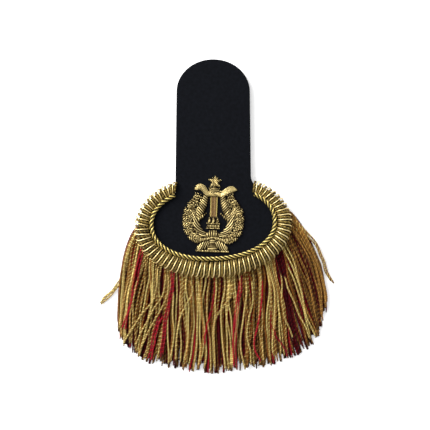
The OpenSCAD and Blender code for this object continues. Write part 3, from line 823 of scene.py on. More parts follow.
# %% Cords that lie on top
OVER_GOLD = [
    [(-44, -35), (-46, -54), (-49, -63), (-62, -80), (-72, -97)],
    [(-38, -40), (-40, -56), (-51, -75), (-63, -99)],
    [(-36, -41), (-37, -59), (-47, -78), (-59, -102)],
    [(-18, -46), (-17, -56), (-26, -75), (-29, -89), (-30, -110)],
    [(14, -47), (14, -58), (11, -64), (3, -74), (1, -86), (1, -118)],
    [(26, -46), (27, -58), (24, -75), (22, -95), (24, -112), (26, -117)],
    [(31, -46), (32, -60), (29, -75), (27, -92), (30, -104), (30, -114)],
    [(57, -43), (60, -52), (66, -67), (73, -82), (78, -93)],
    [(55, -40), (55, -61), (57, -75), (64, -92)],
]
OVER_CRIMSON = [
    [(-57, -19), (-63, -41), (-66, -64), (-73, -85)],
    [(-56, -20), (-59, -37), (-61, -48), (-67, -67), (-71, -86)],
    [(-33, -38), (-34, -54), (-37, -68), (-40, -85), (-42, -108)],
    [(-31.3, -38), (-32.3, -54), (-35.4, -68), (-38.2, -85), (-40.4, -106)],
    [(-42, -73), (-47, -85), (-49, -96), (-52, -109)],
    [(-40.4, -74), (-45.2, -86), (-47.2, -97), (-50, -110)],
    [(-2, -71), (-6, -87), (-7, -98)],
    [(21.4, -42), (20.4, -55), (18.4, -67), (16.4, -82), (16.2, -98), (16.6, -116)],
    [(23.2, -42), (22.2, -55), (20.2, -67), (18.4, -82), (18.2, -98), (18.8, -118)],
    [(39, -45), (39, -60), (38, -71), (35, -84), (33, -94), (34, -103), (38, -111)],
    [(47, -82), (51, -92), (57, -100), (60, -108)],
]


def smooth_rows(rows, count):
    """A Catmull-Rom curve through rows of numbers."""
    rows = np.asarray(rows, float)
    padded = np.vstack([2 * rows[0] - rows[1], rows, 2 * rows[-1] - rows[-2]])
    t = np.linspace(0, len(rows) - 1, count)
    k = np.minimum(t.astype(int), len(rows) - 2)
    f = (t - k)[:, None]
    a, b, c, d = (padded[k + i] for i in range(4))
    return 0.5 * (2 * b + (c - a) * f + (2 * a - 5 * b + 4 * c - d) * f ** 2
                  + (3 * b - a - 3 * c + d) * f ** 3)


def lying_line(bends, heights, dice):
    """A 3-D line through bends in mm, with heights at its root, near it, near its tip and there."""
    xy = smooth_rows(bends, 36) * MM
    t = np.linspace(0, 1, 36)
    wave = 0.3 * MM * np.sin(2 * np.pi * (t * dice.uniform(2, 4) + dice.random()))
    z = np.interp(t, [0, 0.2, 0.8, 1], heights)
    return np.column_stack([xy + leftward(xy) * wave[:, None] + MIDDLE, z])


def on_top(bends, dice):
    """A cord that slips out from the others at its root and then lies on them."""
    high = (6.4 + 0.4 * dice.random()) * MM
    return lying_line(bends, [high - 1.8 * MM, high, high, high - 1.0 * MM], dice)


# The cords are 1.8 mm thick. A real one has a lay near 2.5 mm. It is 3.3 mm here, so that the
# twist shows
# The flank setting paints shade on the sides of each cord, where it touches the next
CORD_SIZES = {"Strands": 2, "Strand radius": 0.42 * MM, "Lay radius": 0.47 * MM,
              "Lay length": 3.3 * MM, "Ring spacing": 0.62 * MM, "Strand contrast": -0.5,
              "Flank shade": 0.38, "Sides": 5}
# The lowest cords show little, so they have fewer faces. They are thicker and lie closely side
# by side, and their strands overlap, which keeps the table from showing between the others
HIDDEN_SIZES = {"Strand radius": 0.8 * MM, "Lay radius": 0.5 * MM, "Lay length": 4.5 * MM,
                "Ring spacing": 1.25 * MM, "Sides": 4}
over_dice = np.random.default_rng(21)
over_lines = [on_top(row, over_dice) for row in OVER_GOLD]
lay_cords("fringe_over_gold", over_lines, over_dice.uniform(0.7, 1.0, len(over_lines)),
          OLD_GOLD, "old_gold_cord", "fringe_outer", **CORD_SIZES)
red_lines = [on_top(row, over_dice) for row in OVER_CRIMSON]
lay_cords("fringe_over_crimson", red_lines, over_dice.uniform(0.5, 1.0, len(red_lines)),
          CRIMSON, "crimson_cord", **CORD_SIZES)

# Strays swing out of the fan and come down to the table
STRAYS = [
    [(-60, -4), (-66, -15), (-69, -28), (-72.5, -43), (-80, -54), (-91, -64.5)],
    [(-59.4, -4.6), (-65.4, -15.6), (-68.4, -28.6), (-72, -43.4), (-79.3, -54.9), (-90.6, -65.6)],
    [(-66.4, -16), (-69.6, -28.2), (-73.2, -42.6), (-80.7, -53.2), (-89.6, -62.1)],
    [(58, 6), (69, -1), (77.5, -10), (84.5, -19.5), (88.5, -29), (91.5, -38), (97, -49)],
    [(58, 0), (68, -6), (77, -16), (84, -28), (88, -40)],
    [(58.5, 5), (68.3, -2.2), (76.6, -11.2), (83.5, -20.5), (87.4, -30), (90.4, -39), (94.5, -47)],
]
stray_lines = [lying_line(row, np.array([3.4, 5.2, 2.4, 1.4]) * MM, over_dice) for row in STRAYS]
lay_cords("fringe_strays", stray_lines, [1.0, 0.8, 0.9, 0.6, 0.45, 0.7], OLD_GOLD,
          "old_gold_cord", **CORD_SIZES)

# %% [markdown]
# The hanging layers come next. The middle of the fan is bright old gold, the upper right is
# brown, one bunch on the right is maroon, and deeper layers are redder and darker. Their darkness
# is partly painted shade of the cords above, so that the gaps between gold cords show dark red
# and hardly show the table.

# %% Hanging layers


def lay_layer(name, layer, chosen, material, slot, *nodes, **sizes):
    """Some cords of a layer as one piece. chosen says for each cord whether it is in it."""
    lines, tones, _ = layer
    lay_cords(name, [line for line, pick in zip(lines, chosen) if pick], tones[chosen], material,
              slot, *nodes, **{**CORD_SIZES, **sizes})


layer_dice = np.random.default_rng(8)
place = top[2]
maroon = (place > 155) & (place < 166)
brown = (place > 174) | (layer_dice.random(len(place)) < 0.12)
gold = ~maroon & ~brown
for name, chosen, material, slot in (
        ("fringe_top_left", gold & (place < 100), OLD_GOLD, "old_gold_cord"),
        ("fringe_top_right", gold & (place >= 100), OLD_GOLD, "old_gold_cord"),
        ("fringe_top_brown", brown & ~maroon, BROWN_GOLD, "old_gold_cord"),
        ("fringe_top_maroon", maroon, MAROON, "crimson_cord")):
    lay_layer(name, top, chosen, material, slot)
draw = layer_dice.random(len(middle[2]))
for name, chosen, material, slot in (
        ("fringe_middle_brown", draw < 0.55, BROWN_GOLD, "old_gold_cord"),
        ("fringe_middle_maroon", (draw >= 0.55) & (draw < 0.88), MAROON, "crimson_cord"),
        ("fringe_middle_crimson", draw >= 0.88, CRIMSON, "crimson_cord")):
    lay_layer(name, middle, chosen, material, slot, **{"Ring spacing": 0.75 * MM, "Sides": 4})
low_brown = layer_dice.random(len(low[2])) < 0.4
lay_layer("fringe_under_maroon", low, ~low_brown, MAROON, "crimson_cord", "fringe_inner",
          **HIDDEN_SIZES)
lay_layer("fringe_under_brown", low, low_brown, BROWN_GOLD, "old_gold_cord", **HIDDEN_SIZES)

# %% [markdown]
# The cords are sewn into a heading, a flat braid of a few thick cords that lies under the
# crescent. It hardly shows from above, but from the side it is what the fringe hangs from.

# %% Heading
heading_lines = []
for out, height in [(9.0, 1.1), (11.0, 1.1), (12.6, 1.2), (9.6, 2.9), (11.4, 2.9)]:
    angles, _ = even_angles(out * MM, 186, 380, 110)
    heading_lines.append(np.column_stack([MIDDLE + oval(angles, out * MM),
                                          np.full(110, height * MM)]))
lay_cords("fringe_heading", heading_lines, [0.3, 0.5, 0.4, 0.6, 0.5], BROWN_GOLD,
          "old_gold_cord", **{
              "Strands": 2, "Strand radius": 0.55 * MM, "Lay radius": 0.5 * MM,
              "Lay length": 5 * MM, "Ring spacing": 0.8 * MM, "Sides": 6})

# %% [markdown]
# ## The cloth-covered board
# The board is stiff card covered in near-black melton, a milled wool whose felted nap hides the
# weave. The cloth is turned over the card's edge, so the edge is round, and it is sewn down a
# little way in, which leaves a faint furrow. The piece is a grid between the left and the right
# half of the outline, so its faces run straight across and take a gentle unevenness well.

# %% Board outline
STRAP_TIP_HALF = 29.4 * MM
TIP_H = 25.8 * MM
FLARE_Y = 38 * MM
FLARE_L = 7 * MM
BOARD_OUT = ROPE_D - 0.1 * MM
BOARD_ROUND = 1.1 * MM
SIDE_POINTS = 260


def even_points(points, count):
    s = length_along(points)
    at = np.linspace(0, s[-1], count)
    return np.column_stack([np.interp(at, s, points[:, k]) for k in (0, 1)])


def strap_tip(start, end):
    a = np.radians(np.linspace(start, end, 60))
    return np.column_stack([STRAP_TIP_HALF * np.cos(a), STRAP_REACH - TIP_H + TIP_H * np.sin(a)])


left_end, right_end = ends(BOARD_OUT, 0.0)
lower = oval(np.linspace(left_end, right_end, 400), BOARD_OUT)
share = np.linspace(1, 0, 12)
flare = np.column_stack([STRAP_HALF + FLARE * share ** 2, FLARE_Y - FLARE_L * share])
left_side = np.vstack([strap_tip(90, 180), [[-STRAP_HALF, FLARE_Y], [-STRAP_HALF, FLARE_Y - FLARE_L]],
                       lower[:201]])
right_side = np.vstack([lower[200:], flare, strap_tip(0, 90)])
outline = np.vstack([even_points(left_side, SIDE_POINTS), even_points(right_side, SIDE_POINTS)[1:-1]])


def inset(points, depth):
    t = unit(np.roll(points, -1, axis=0) - np.roll(points, 1, axis=0))
    return points + depth * np.column_stack([-t[:, 1], t[:, 0]])


x, y = outline.T
board_area = abs(np.sum(x * np.roll(y, -1) - y * np.roll(x, -1))) / 2
print("board, mm", (np.ptp(outline, axis=0) / MM).round(1), "cm2", round(board_area * 1e4, 1))

# %% Board mesh
COLUMNS = 28
RINGS = 5


def uneven(x, y):
    """Cloth over card is never quite flat."""
    return 0.05 * MM * (np.sin(x * 160 + 1.3 * np.sin(y * 90)) + np.sin(y * 130 + 2 * np.sin(x * 110)))


def board_mesh():
    """Rings round the edge, joined by a grid of rungs on top and underneath."""
    count = len(outline)
    quarter = np.linspace(0, math.pi / 2, RINGS)
    rings = [(inset(outline, BOARD_ROUND * (1 - math.sin(q))),
              BOARD_BASE + BOARD_ROUND * (1 - math.cos(q))) for q in quarter]
    rings += [(inset(outline, BOARD_ROUND * (1 - math.cos(q))),
               BOARD_TOP - BOARD_ROUND * (1 - math.sin(q))) for q in quarter]
    points = [(x, y, z) for ring, z in rings for x, y in ring]
    faces = []
    for r in range(len(rings) - 1):
        for k in range(count):
            a, b = r * count + k, r * count + (k + 1) % count
            faces.append((a, b, b + count, a + count))
    half = count // 2
    for ring_at, top in ((len(rings) - 1, True), (0, False)):
        ring, z = rings[ring_at]
        base = ring_at * count
        rows = [[base]]
        for i in range(1, half):
            left, right = ring[i], ring[count - i]
            row = [base + i]
            for c in range(1, COLUMNS):
                x, y = left + (right - left) * c / COLUMNS
                fade = min(1.0, 4 * c / COLUMNS, 4 * (COLUMNS - c) / COLUMNS)
                row.append(len(points))
                points.append((x, y, z + (uneven(x, y) * fade if top else 0)))
            rows.append(row + [base + count - i])
        rows.append([base + half])
        for above, below in zip(rows, rows[1:]):
            if len(above) == 1:
                strip = [(above[0], below[c], below[c + 1]) for c in range(COLUMNS)]
            elif len(below) == 1:
                strip = [(above[c], below[0], above[c + 1]) for c in range(COLUMNS)]
            else:
                strip = [(above[c], below[c], below[c + 1], above[c + 1]) for c in range(COLUMNS)]
            faces += strip if top else [face[::-1] for face in strip]
    points = np.array(points)
    edge = np.array([np.linalg.norm(outline - p, axis=1).min() for p in points[:, :2]])
    furrow = np.exp(-((edge - 2.6 * MM) / (0.5 * MM)) ** 2) * (points[:, 2] > BOARD_TOP - 0.3 * MM)
    points[:, 2] -= 0.12 * MM * furrow
    mesh = bpy.data.meshes.new("board_cloth")
    mesh.from_pydata((points + np.array([*MIDDLE, 0])).tolist(), [], faces)
    mesh.attributes.new("edge", "FLOAT", "POINT").data.foreach_set("value", edge)
    mesh.shade_smooth()
    return mesh


# Melton is dull and nearly black. Its nap gives a faint pale sheen. Within 2.2 mm of the edge,
# where the cloth bends, its colour is painted lighter: partly wear, partly painted sheen
MELTON, tree, wool = new_finish("near-black melton wool")
place = add(tree, "ShaderNodeTexCoord").outputs["Object"]
clouds = add(tree, "ShaderNodeTexNoise", {"Vector": place, "Scale": 420.0, "Detail": 3.0})
# Fibres of the nap lie 0.3 to 0.6 mm apart here, coarser than real ones, so that they show
nap = add(tree, "ShaderNodeTexNoise", {"Vector": place, "Scale": 1700.0, "Detail": 3.0,
                                       "Roughness": 0.7})
twill_place = add(tree, "ShaderNodeMapping", {"Vector": place, "Rotation": (0, 0, 0.9)})
twill = add(tree, "ShaderNodeTexWave", {"Vector": twill_place, "Scale": 260.0,
                                        "Distortion": 3.0, "Detail": 2.0, "Detail Scale": 2.0})
speck = add(tree, "ShaderNodeMath", {0: nap.outputs["Fac"], 1: 0.55, 2: clouds.outputs["Fac"]},
            operation="MULTIPLY_ADD")
# Lighter within 2.2 mm of the edge: wear, and painted sheen where the cloth bends
edge_wear_and_sheen = add(tree, "ShaderNodeMapRange", {0: add(tree, "ShaderNodeAttribute",
                                               attribute_name="edge").outputs["Fac"],
                                        1: 0.0, 2: 2.2 * MM, 3: 0.15, 4: 0.0})
shade = add(tree, "ShaderNodeMath", {0: speck, 1: edge_wear_and_sheen})
level = add(tree, "ShaderNodeMapRange", {0: shade, 1: 0.3, 2: 1.3})
blend = add(tree, "ShaderNodeMix", {"Factor": level, 6: colour("#020305"),
                                    7: colour("#0e1016")}, data_type="RGBA")
raised = add(tree, "ShaderNodeMath", {0: twill.outputs["Fac"], 1: 0.35, 2: nap.outputs["Fac"]},
             operation="MULTIPLY_ADD")
rough = add(tree, "ShaderNodeBump", {"Height": raised, "Strength": 0.5,
                                     "Distance": 0.15 * MM})
connect(tree, wool, {"Base Color": blend.outputs[2], "Normal": rough, "Roughness": 0.9,
                     "Specular IOR Level": 0.08, "Sheen Weight": 0.03, "Sheen Roughness": 0.5})

cloth_mesh = board_mesh()
cloth_mesh.materials.append(MELTON)
dress(new_object("board_cloth", cloth_mesh), "cloth", "board")
print("board faces", len(cloth_mesh.polygons))

# %% [markdown]
# ## The badge
# The badge is raised embroidery: each arm, leaf and bar is a strip of felt, and gilt purl goes
# over it in slanted turns. So each form is a short path with widths, in mm in the badge's own
# frame, and the arch tree winds it. The lower arms, the horns and the foot's lobes have purls
# along them instead. Where the slant changes, the light changes, and that is what draws the
# leaves, since they all have one colour.

# %% Badge forms
BADGE_AT = np.array([0.3, 7.8]) * MM
BADGE_TURN = math.radians(-2)


def form(rows, high, slant=0.0, lift=0.0, count=24):
    """A stuffed form along rows of x, y and width in mm: its line, widths, heights and slant."""
    x, y, w = (smooth_rows(rows, count) * MM).T
    w = np.maximum(w, 0.2 * MM)
    xy = MIDDLE + BADGE_AT + turned(np.column_stack([x, y]), BADGE_TURN)
    line = np.column_stack([xy, np.full(count, BOARD_TOP + (0.35 + lift) * MM)])
    return {"line": line, "half": w / 2, "high": high * MM * np.sqrt(w / w.max()),
            "slant": np.full(count, float(slant))}


def mirrored(rows):
    return [[-row[0], *row[1:]] for row in rows]


def both(rows, high, slant=0.0, count=24):
    """A form and its mirror image, which slants the other way."""
    return [form(rows, high, slant, count=count), form(mirrored(rows), high, -slant, count=count)]


def embroider(name, forms, spacing, wire, *nodes, jitter=4.0, seed=3):
    """Winds purl over stuffed forms. Slanted turns are made longer, so they still fill the width."""
    half = [(f["half"] - wire * MM * 0.6) / np.cos(np.radians(f["slant"])) for f in forms]
    mesh = guide_mesh(name, [f["line"] for f in forms], half_w=half,
                      high=[f["high"] for f in forms], slant=[f["slant"] for f in forms])
    piece = grow(name, mesh, ARCHES, {
        "Spacing": spacing * MM, "Wire radius": wire * MM, "Slant jitter": jitter,
        "Squareness": 0.8, "Arch points": 9, "Sides": 5, "Seed": seed, "Material": STITCH_GOLD})
    return dress(piece, "gold_embroidery", *nodes)


def stuffing(f):
    """The felt inside a form: half-round rings, a little smaller than the turns over it."""
    profile = [(-1, 0), (1, 0), (0.92, 0.5), (0.5, 0.9), (-0.5, 0.9), (-0.92, 0.5)]
    return [[(*(p[:2] + n * w * 0.9 * a), BOARD_TOP + 0.12 * MM + h * b)
             for a, b in profile]
            for p, n, w, h in zip(f["line"], leftward(f["line"][:, :2]), f["half"], f["high"])]


def long_stitches(f, pitch, stitch, wire, tilt):
    """Long purls that cross a form slowly while they run along it, as satin stitch does."""
    line, s = f["line"], length_along(f["line"])
    left = leftward(line[:, :2])
    rows = []
    for middle in np.arange(0, s[-1] + pitch * MM, pitch * MM):
        at = middle + np.linspace(-0.5, 0.5, 15) * stitch * MM
        u = tilt * np.linspace(-1, 1, 15)[(at >= 0) & (at <= s[-1])]
        at = at[(at >= 0) & (at <= s[-1])]
        if len(at) < 4:
            continue
        xy, n = (np.column_stack([np.interp(at, s, part[:, k]) for k in (0, 1)])
                 for part in (line, left))
        half, high = np.interp(at, s, f["half"]), np.interp(at, s, f["high"])
        z = line[0, 2] + high * np.sqrt(np.clip(1 - 0.95 * u * u, 0, 1))
        rows.append(np.column_stack([xy + n * (u * (half - wire * MM))[:, None], z]))
    return rows


LOWER_ARM = [[-5.0, -18.6, 4.6], [-8.2, -16.8, 5.4], [-11.4, -13.6, 5.8], [-13.4, -9.4, 6.2],
             [-14.0, -5.2, 6.2], [-15.0, -0.6, 5.2], [-16.6, 3.2, 4.4], [-18.4, 5.2, 2.6]]
UPPER_ARM = [[-12.8, -4.0, 3.6], [-11.6, -0.4, 5.8], [-10.0, 3.0, 6.8], [-8.6, 6.4, 6.4],
             [-7.5, 9.6, 5.4], [-6.4, 14.2, 4.0]]
ARM_TAIL = [[-11.6, -5.2, 3.0], [-8.6, -3.0, 2.4], [-5.9, -0.4, 0.4]]
SCROLL = [[-4.6, 13.8, 3.8], [-7.0, 17.0, 4.2], [-9.4, 20.0, 4.8], [-12.2, 20.4, 5.0],
          [-14.6, 18.4, 2.6]]
HORN_LEAF = [[5.4, 13.8, 3.4], [8.4, 16.1, 4.8], [11.2, 18.1, 6.0], [14.2, 19.3, 5.6],
             [18.0, 18.9, 1.2]]
lower_arms = both(LOWER_ARM, 1.9, count=50)
arms = both(UPPER_ARM, 2.6, -25, count=40) + both(ARM_TAIL, 2.0, -30)
horns = [form(SCROLL, 2.3, count=30), form(HORN_LEAF, 2.3, count=30)]
bars = [form([[-6.4, 14.6, 3.6], [0, 14.9, 4.2], [6.4, 14.6, 3.6]], 1.7, 50),
        form([[-4.4, -17.4, 3.6], [0, -16.8, 4.6], [4.4, -17.4, 3.6]], 2.1, 0),
        form([[-2.6, -14.8, 2.4], [2.6, -14.8, 2.4]], 1.9, 0),
        form([[0, 15.6, 8.6], [0, 17.6, 9.4], [0, 19.6, 7.0]], 1.5, 0),
        form([[0, 19.4, 3.4], [0, 21.4, 2.8], [0, 23.6, 2.0]], 1.2, 0)]
arm_stitches = [line for f, tilt in zip(lower_arms, (1, -1))
                for line in long_stitches(f, 4.2, 13.0, 0.4, tilt)]


def full_rows(f, count, wire):
    """Purls that run side by side along a whole form, from one edge of it to the other."""
    left = leftward(f["line"][:, :2])
    return [np.column_stack([f["line"][:, :2] + left * (u * (f["half"] - wire * MM))[:, None],
                             f["line"][:, 2] + f["high"] * math.sqrt(1 - 0.9 * u * u)])
            for u in np.linspace(-0.95, 0.95, count)]


horn_stitches = full_rows(horns[0], 5, 0.36) + full_rows(horns[1], 7, 0.36)
# The left horn's curled end is wound across, over the rows
curl = form([[-9.8, 20.2, 4.6], [-12.2, 20.5, 5.2], [-14.7, 18.3, 3.0]], 2.5, 35, count=16)
print("long stitches on the lower arms", len(arm_stitches), "on the horns", len(horn_stitches))

# %% Badge leaves and star


def leaf(x, y, turn, long, wide, high, slant):
    """A pointed form centred on x and y."""
    c, s = math.cos(math.radians(turn)), math.sin(math.radians(turn))
    return form([[x + long * u * c, y + long * u * s, wide * v]
                 for u, v in [(-0.5, 0.4), (-0.25, 0.9), (0.05, 1.0), (0.35, 0.8), (0.5, 0.3)]],
                high, slant, count=12)


BRANCH = [[-12.4, -21.2, 158], [-16.0, -19.2, 138], [-19.4, -14.9, 116], [-20.9, -9.8, 99],
          [-21.3, -4.6, 88], [-20.4, 0.8, 76], [-17.9, 5.3, 50], [-15.4, 9.4, 56],
          [-13.2, 13.2, 76]]


def wreath(mirror):
    """Three leaves at each place of the branch: two that spread and one that lies between."""
    forms = []
    for x, y, turn in BRANCH:
        shrink = 0.8 if y > 8 else 1.0
        for side, spread, high in ((-1, 2.2, 1.9), (1, 2.2, 1.9), (0, 0, 2.3)):
            way = math.radians(turn + 90)
            at = [x + side * spread * shrink * math.cos(way),
                  y + side * spread * shrink * math.sin(way)]
            angle = turn + side * 16
            if mirror:
                at[0], angle = -at[0], 180 - angle
            slant = (32 if side >= 0 else -32) * (-1 if mirror else 1)
            forms.append(leaf(*at, angle, 4.8 * shrink, 3.0 * shrink, high, slant))
    return forms


left_wreath, right_wreath = wreath(False), wreath(True)
# Curled chips of purl fill the ground between the leaves and the arm
CHIP_BAND = [[-9.0, -21.0, 3.6], [-14.0, -18.4, 5.6], [-17.4, -14.0, 6.6], [-18.6, -8.0, 7.4],
             [-18.4, -2.0, 8.0], [-17.0, 3.4, 8.0], [-14.2, 8.4, 6.6], [-12.0, 13.0, 5.6]]
CHIP_L = 1.9
chip_bands = both(CHIP_BAND, 1.0, count=50)


def chips(rows, seed):
    """Little arches of purl over a band along rows of x, y and width, each its own way round."""
    dice = np.random.default_rng(seed)
    x, y, w = smooth_rows(rows, 30).T
    path = np.column_stack([x, y])
    curls = []
    for middle_spot, left, wide in zip(path, leftward(path), w):
        for across in (-0.44, -0.15, 0.15, 0.44):
            spot = middle_spot + left * wide * across + 0.4 * dice.normal(size=2)
            turn = dice.uniform(0, math.pi)
            t = np.linspace(0, math.pi, 7)
            reach = -CHIP_L / 2 * np.cos(t)
            xy = spot + reach[:, None] * np.array([math.cos(turn), math.sin(turn)])
            z = BOARD_TOP + (1.0 + 1.1 * np.sin(t) + 0.2 * dice.normal()) * MM
            curls.append(np.column_stack([MIDDLE + BADGE_AT + turned(xy * MM, BADGE_TURN), z]))
    return curls


STAR_AT = [0.3, 24.8]
# Direction in degrees, length and width in mm of the five full arms and two short ones between
STAR_ARMS = [[90, 4.5, 3.2], [160, 5.4, 3.4], [21, 4.9, 3.4], [229, 5.4, 3.4], [318, 5.4, 3.4],
             [121, 3.9, 2.0], [61, 3.6, 2.0]]
star = []
for turn, long, wide in STAR_ARMS:
    c, s = math.cos(math.radians(turn)), math.sin(math.radians(turn))
    star.append(form([[STAR_AT[0] + u * c, STAR_AT[1] + u * s, w]
                      for u, w in [(0.3, wide), (long * 0.5, wide * 0.9), (long, 0.9)]], 1.7, 30,
                     count=10))
sprigs = [leaf(side * x, y, 90 - side * lean, long, 1.9, 1.4, 40)
          for side in (-1, 1)
          for x, y, lean, long in ((3.0, 17.6, 28, 4.8), (4.8, 16.8, 52, 4.4))]
lobe = [[-2.4, -23.2, 4.6], [-5.4, -25.2, 6.4], [-8.8, -27.2, 6.4], [-12.4, -29.2, 3.4]]
shoulder = [[-2.4, -20.4, 2.6], [-5.8, -20.9, 3.4], [-9.4, -21.9, 2.4]]
foot = both(lobe, 1.9) + [
    form([[0, -19.6, 5.0], [0, -24.6, 6.0], [0, -29.6, 9.4]], 2.0),
    form([[-12.8, -30.5, 1.5], [0, -30.6, 1.7], [12.8, -30.5, 1.5]], 1.3, 30),
] + both(shoulder, 1.6, -40)
points_row = [form([[x, -7.3, 3.0], [x, -5.6, 1.8], [x, -3.9, 0.3]], 1.4, 45, lift=0.7, count=8)
              for x in (-3.3, 0, 3.3)]
blocks = [form([[x - 1.2, -10.6, 2.7], [x + 1.2, -10.6, 2.7]], 1.1, 0, lift=0.7, count=6)
          for x in (-3.3, 0, 3.3)]
rail = [form([[-5.0, -8.4, 1.2], [5.0, -8.4, 1.2]], 0.9, 40, lift=0.7),
        form([[-5.0, -12.3, 0.9], [5.0, -12.3, 0.9]], 0.8, 40, lift=0.5)]
print("forms", len(left_wreath) + len(right_wreath) + len(star) + len(sprigs) + len(foot))

# %% Badge pieces
plate = form([[0, -12.8, 10.2], [0, -8, 10.4], [0, -3.8, 10.2]], 0.6)
lyre_forms = lower_arms + arms + horns + bars + sprigs
stuffed_forms = lyre_forms + left_wreath + right_wreath + chip_bands + star + foot + [plate]
padding = swept("badge_padding", [stuffing(f) for f in stuffed_forms], FELT)
dress(padding, "gold_embroidery")
embroider("badge_lyre_purl", arms + bars[1:3], 1.65, 0.44, "badge_lyre")
# The flank setting paints shade on the sides of each purl
PURL_SIZES = {"Strands": 1, "Lay radius": 0.0, "Ring spacing": 0.5 * MM, "Flank shade": 0.7,
              "Sides": 6}
stitch_dice = np.random.default_rng(31)
foot_stitches = [line for f, tilt in zip(foot[:2], (1, -1))
                 for line in long_stitches(f, 2.6, 8.0, 0.4, tilt)]
curls = chips(CHIP_BAND, 12) + chips(mirrored(CHIP_BAND), 13)
# Wire radius in mm, and the darkest and the brightest tone
for name, lines, wire, *tones in (("badge_arm_stitches", arm_stitches, 0.42, 0.2, 1.0),
                                  ("badge_foot_stitches", foot_stitches, 0.42, 0.2, 1.0),
                                  ("badge_horn_stitches", horn_stitches, 0.36, 0.2, 1.0),
                                  ("badge_chips", curls, 0.36, 0.0, 0.6)):
    lay_cords(name, lines, stitch_dice.uniform(*tones, len(lines)), STITCH_GOLD,
              "gold_embroidery", **{**PURL_SIZES, "Strand radius": wire * MM})
embroider("badge_crossbar_purl", bars[:1] + bars[3:] + sprigs + [curl], 1.25, 0.36, jitter=5.0)
embroider("badge_wreath_left_purl", left_wreath, 1.5, 0.44, "badge_wreath_left", jitter=10.0,
          seed=6)
embroider("badge_wreath_right_purl", right_wreath, 1.5, 0.44, "badge_wreath_right", jitter=10.0,
          seed=7)
embroider("badge_star_purl", star, 0.95, 0.3, "badge_star", jitter=8.0)
embroider("badge_foot_purl", foot[2:], 1.25, 0.42, "badge_foot", jitter=3.0, seed=9)
embroider("badge_tailpiece_purl", points_row + blocks + rail, 0.85, 0.3, "badge_tailpiece", seed=2)


def string_line(x):
    y = np.linspace(-3.6, 13.3, 12) * MM
    xy = MIDDLE + BADGE_AT + turned(np.column_stack([np.full(12, x * MM), y]), BADGE_TURN)
    return np.column_stack([xy, np.full(12, BOARD_TOP + 0.75 * MM)])


STRING_SIZES = {"Strands": 2, "Strand radius": 0.3 * MM, "Lay radius": 0.26 * MM,
                "Lay length": 2 * MM, "Ring spacing": 0.4 * MM, "Sides": 5}
lay_cords("badge_strings_outer", [string_line(x) for x in (-2.4, 2.4)], [0.9, 1.0], ROPE_GOLD,
          "gold_embroidery", "badge_strings", **STRING_SIZES)
lay_cords("badge_strings_inner", [string_line(x) for x in (-1.5, -0.5, 0.5, 1.5)],
          [0.7, 0.3, 0.8, 0.4], COPPER, "gold_embroidery", **STRING_SIZES)

# %% [markdown]
# ## The hidden tongue
# A brass tongue under the neck slides into a loop on the shoulder. It is rolled strip: rolling
# leaves fine streaks along it, and years in a pocket of cloth leave it brown in places.

# %% Brass
BRASS, tree, metal = new_finish("rolled brass strip")
place = add(tree, "ShaderNodeTexCoord").outputs["Object"]
stretched = add(tree, "ShaderNodeMapping", {"Vector": place, "Scale": (2200.0, 60.0, 2200.0)})
streaks = add(tree, "ShaderNodeTexNoise", {"Vector": stretched, "Scale": 1.0,
                                           "Detail": 2.0})
tarnish = add(tree, "ShaderNodeTexNoise", {"Vector": place, "Scale": 70.0, "Detail": 4.0})
stain = add(tree, "ShaderNodeMapRange", {0: tarnish.outputs["Fac"], 1: 0.42, 2: 0.72})
blend = add(tree, "ShaderNodeMix", {"Factor": stain, 6: colour("#c9aa62"),
                                    7: colour("#7a5d2e")}, data_type="RGBA")
gloss = add(tree, "ShaderNodeMapRange", {0: streaks.outputs["Fac"], 1: 0.3, 2: 0.7, 3: 0.28,
                                         4: 0.46})
scratch = add(tree, "ShaderNodeBump", {"Height": streaks.outputs["Fac"], "Strength": 0.2,
                                       "Distance": 0.02 * MM})
connect(tree, metal, {"Base Color": blend.outputs[2], "Roughness": gloss, "Normal": scratch,
                      "Metallic": 1.0})
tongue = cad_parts["clasp_tongue"]
for slot in tongue.material_slots:
    slot.material = BRASS
print("tongue material", [slot.material.name for slot in tongue.material_slots])

# %% [markdown]
# ## Camera, light and table
# The photo looks straight down from far enough away that the sides don't show. A long lens over
# the middle of the view gives that. The light is a broad soft panel from the upper left, with a
# pale surround that fills the shadows.

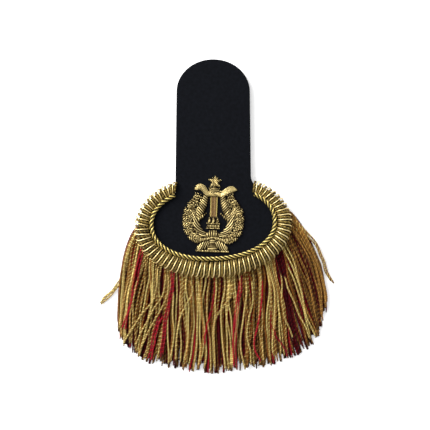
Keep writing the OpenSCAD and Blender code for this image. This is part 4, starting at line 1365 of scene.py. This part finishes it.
# %% Camera
VIEW_PIXELS = 430
PIXEL = 0.8 * MM
OVAL_PIXEL = np.array([213.2, 222.8])
LENS = 85.0
SENSOR = 36.0
view_middle = MIDDLE + np.array([VIEW_PIXELS / 2 - OVAL_PIXEL[0],
                                 OVAL_PIXEL[1] - VIEW_PIXELS / 2]) * PIXEL
distance = VIEW_PIXELS * PIXEL * LENS / SENSOR
camera = new_object("camera", bpy.data.cameras.new("camera"))
camera.data.lens = LENS
camera.data.sensor_width = SENSOR
camera.location = (view_middle[0], view_middle[1], BOARD_TOP + distance)
bpy.context.scene.camera = camera
print("camera height, mm", round(camera.location.z / MM))

# %% Light and table
world = bpy.data.worlds.new("pale surround")
world.use_nodes = True
bpy.context.scene.world = world
# The surround is bright towards the panel and grey away from it, which shapes every round thread
tree = world.node_tree
around = add(tree, "ShaderNodeTexCoord").outputs["Generated"]
towards = add(tree, "ShaderNodeVectorMath", {0: around, 1: (-0.6, 0.45, 0.65)},
              operation="DOT_PRODUCT")
fade = add(tree, "ShaderNodeMapRange", {0: towards.outputs["Value"], 1: -0.3, 2: 0.95, 3: 0.3,
                                        4: 1.25})
connect(tree, tree.nodes["Background"], {"Strength": fade, "Color": colour("#ffffff")})

# A square soft panel that faces the origin
light = bpy.data.lights.new("key_panel", "AREA")
light.size = 0.8
light.energy = 22.0
lamp = new_object("key_panel", light)
lamp.location = (-0.8, 0.6, 0.8)
lamp.rotation_euler = (-lamp.location).to_track_quat("-Z", "Y").to_euler()

# The sheet is lit a little from below, as on a light table, so its shadows stay pale
TABLE, tree, paper = new_finish("white table paper")
grain = add(tree, "ShaderNodeTexNoise", {"Scale": 900.0, "Detail": 2.0})
rough = add(tree, "ShaderNodeBump", {"Height": grain.outputs["Fac"], "Strength": 0.05,
                                     "Distance": 0.1 * MM})
connect(tree, paper, {"Normal": rough, "Base Color": colour("#fcfcfc"), "Roughness": 0.9,
                      "Specular IOR Level": 0.2, "Emission Color": colour("#ffffff"),
                      "Emission Strength": 0.3})
TABLE_HALF = 4.0
table_mesh = bpy.data.meshes.new("table")
table_mesh.from_pydata([(TABLE_HALF * x, TABLE_HALF * y, 0)
                        for x, y in ((-1, -1), (1, -1), (1, 1), (-1, 1))], [], [(0, 1, 2, 3)])
table_mesh.materials.append(TABLE)
table = new_object("table", table_mesh)
bpy.context.scene.view_settings.view_transform = "Standard"
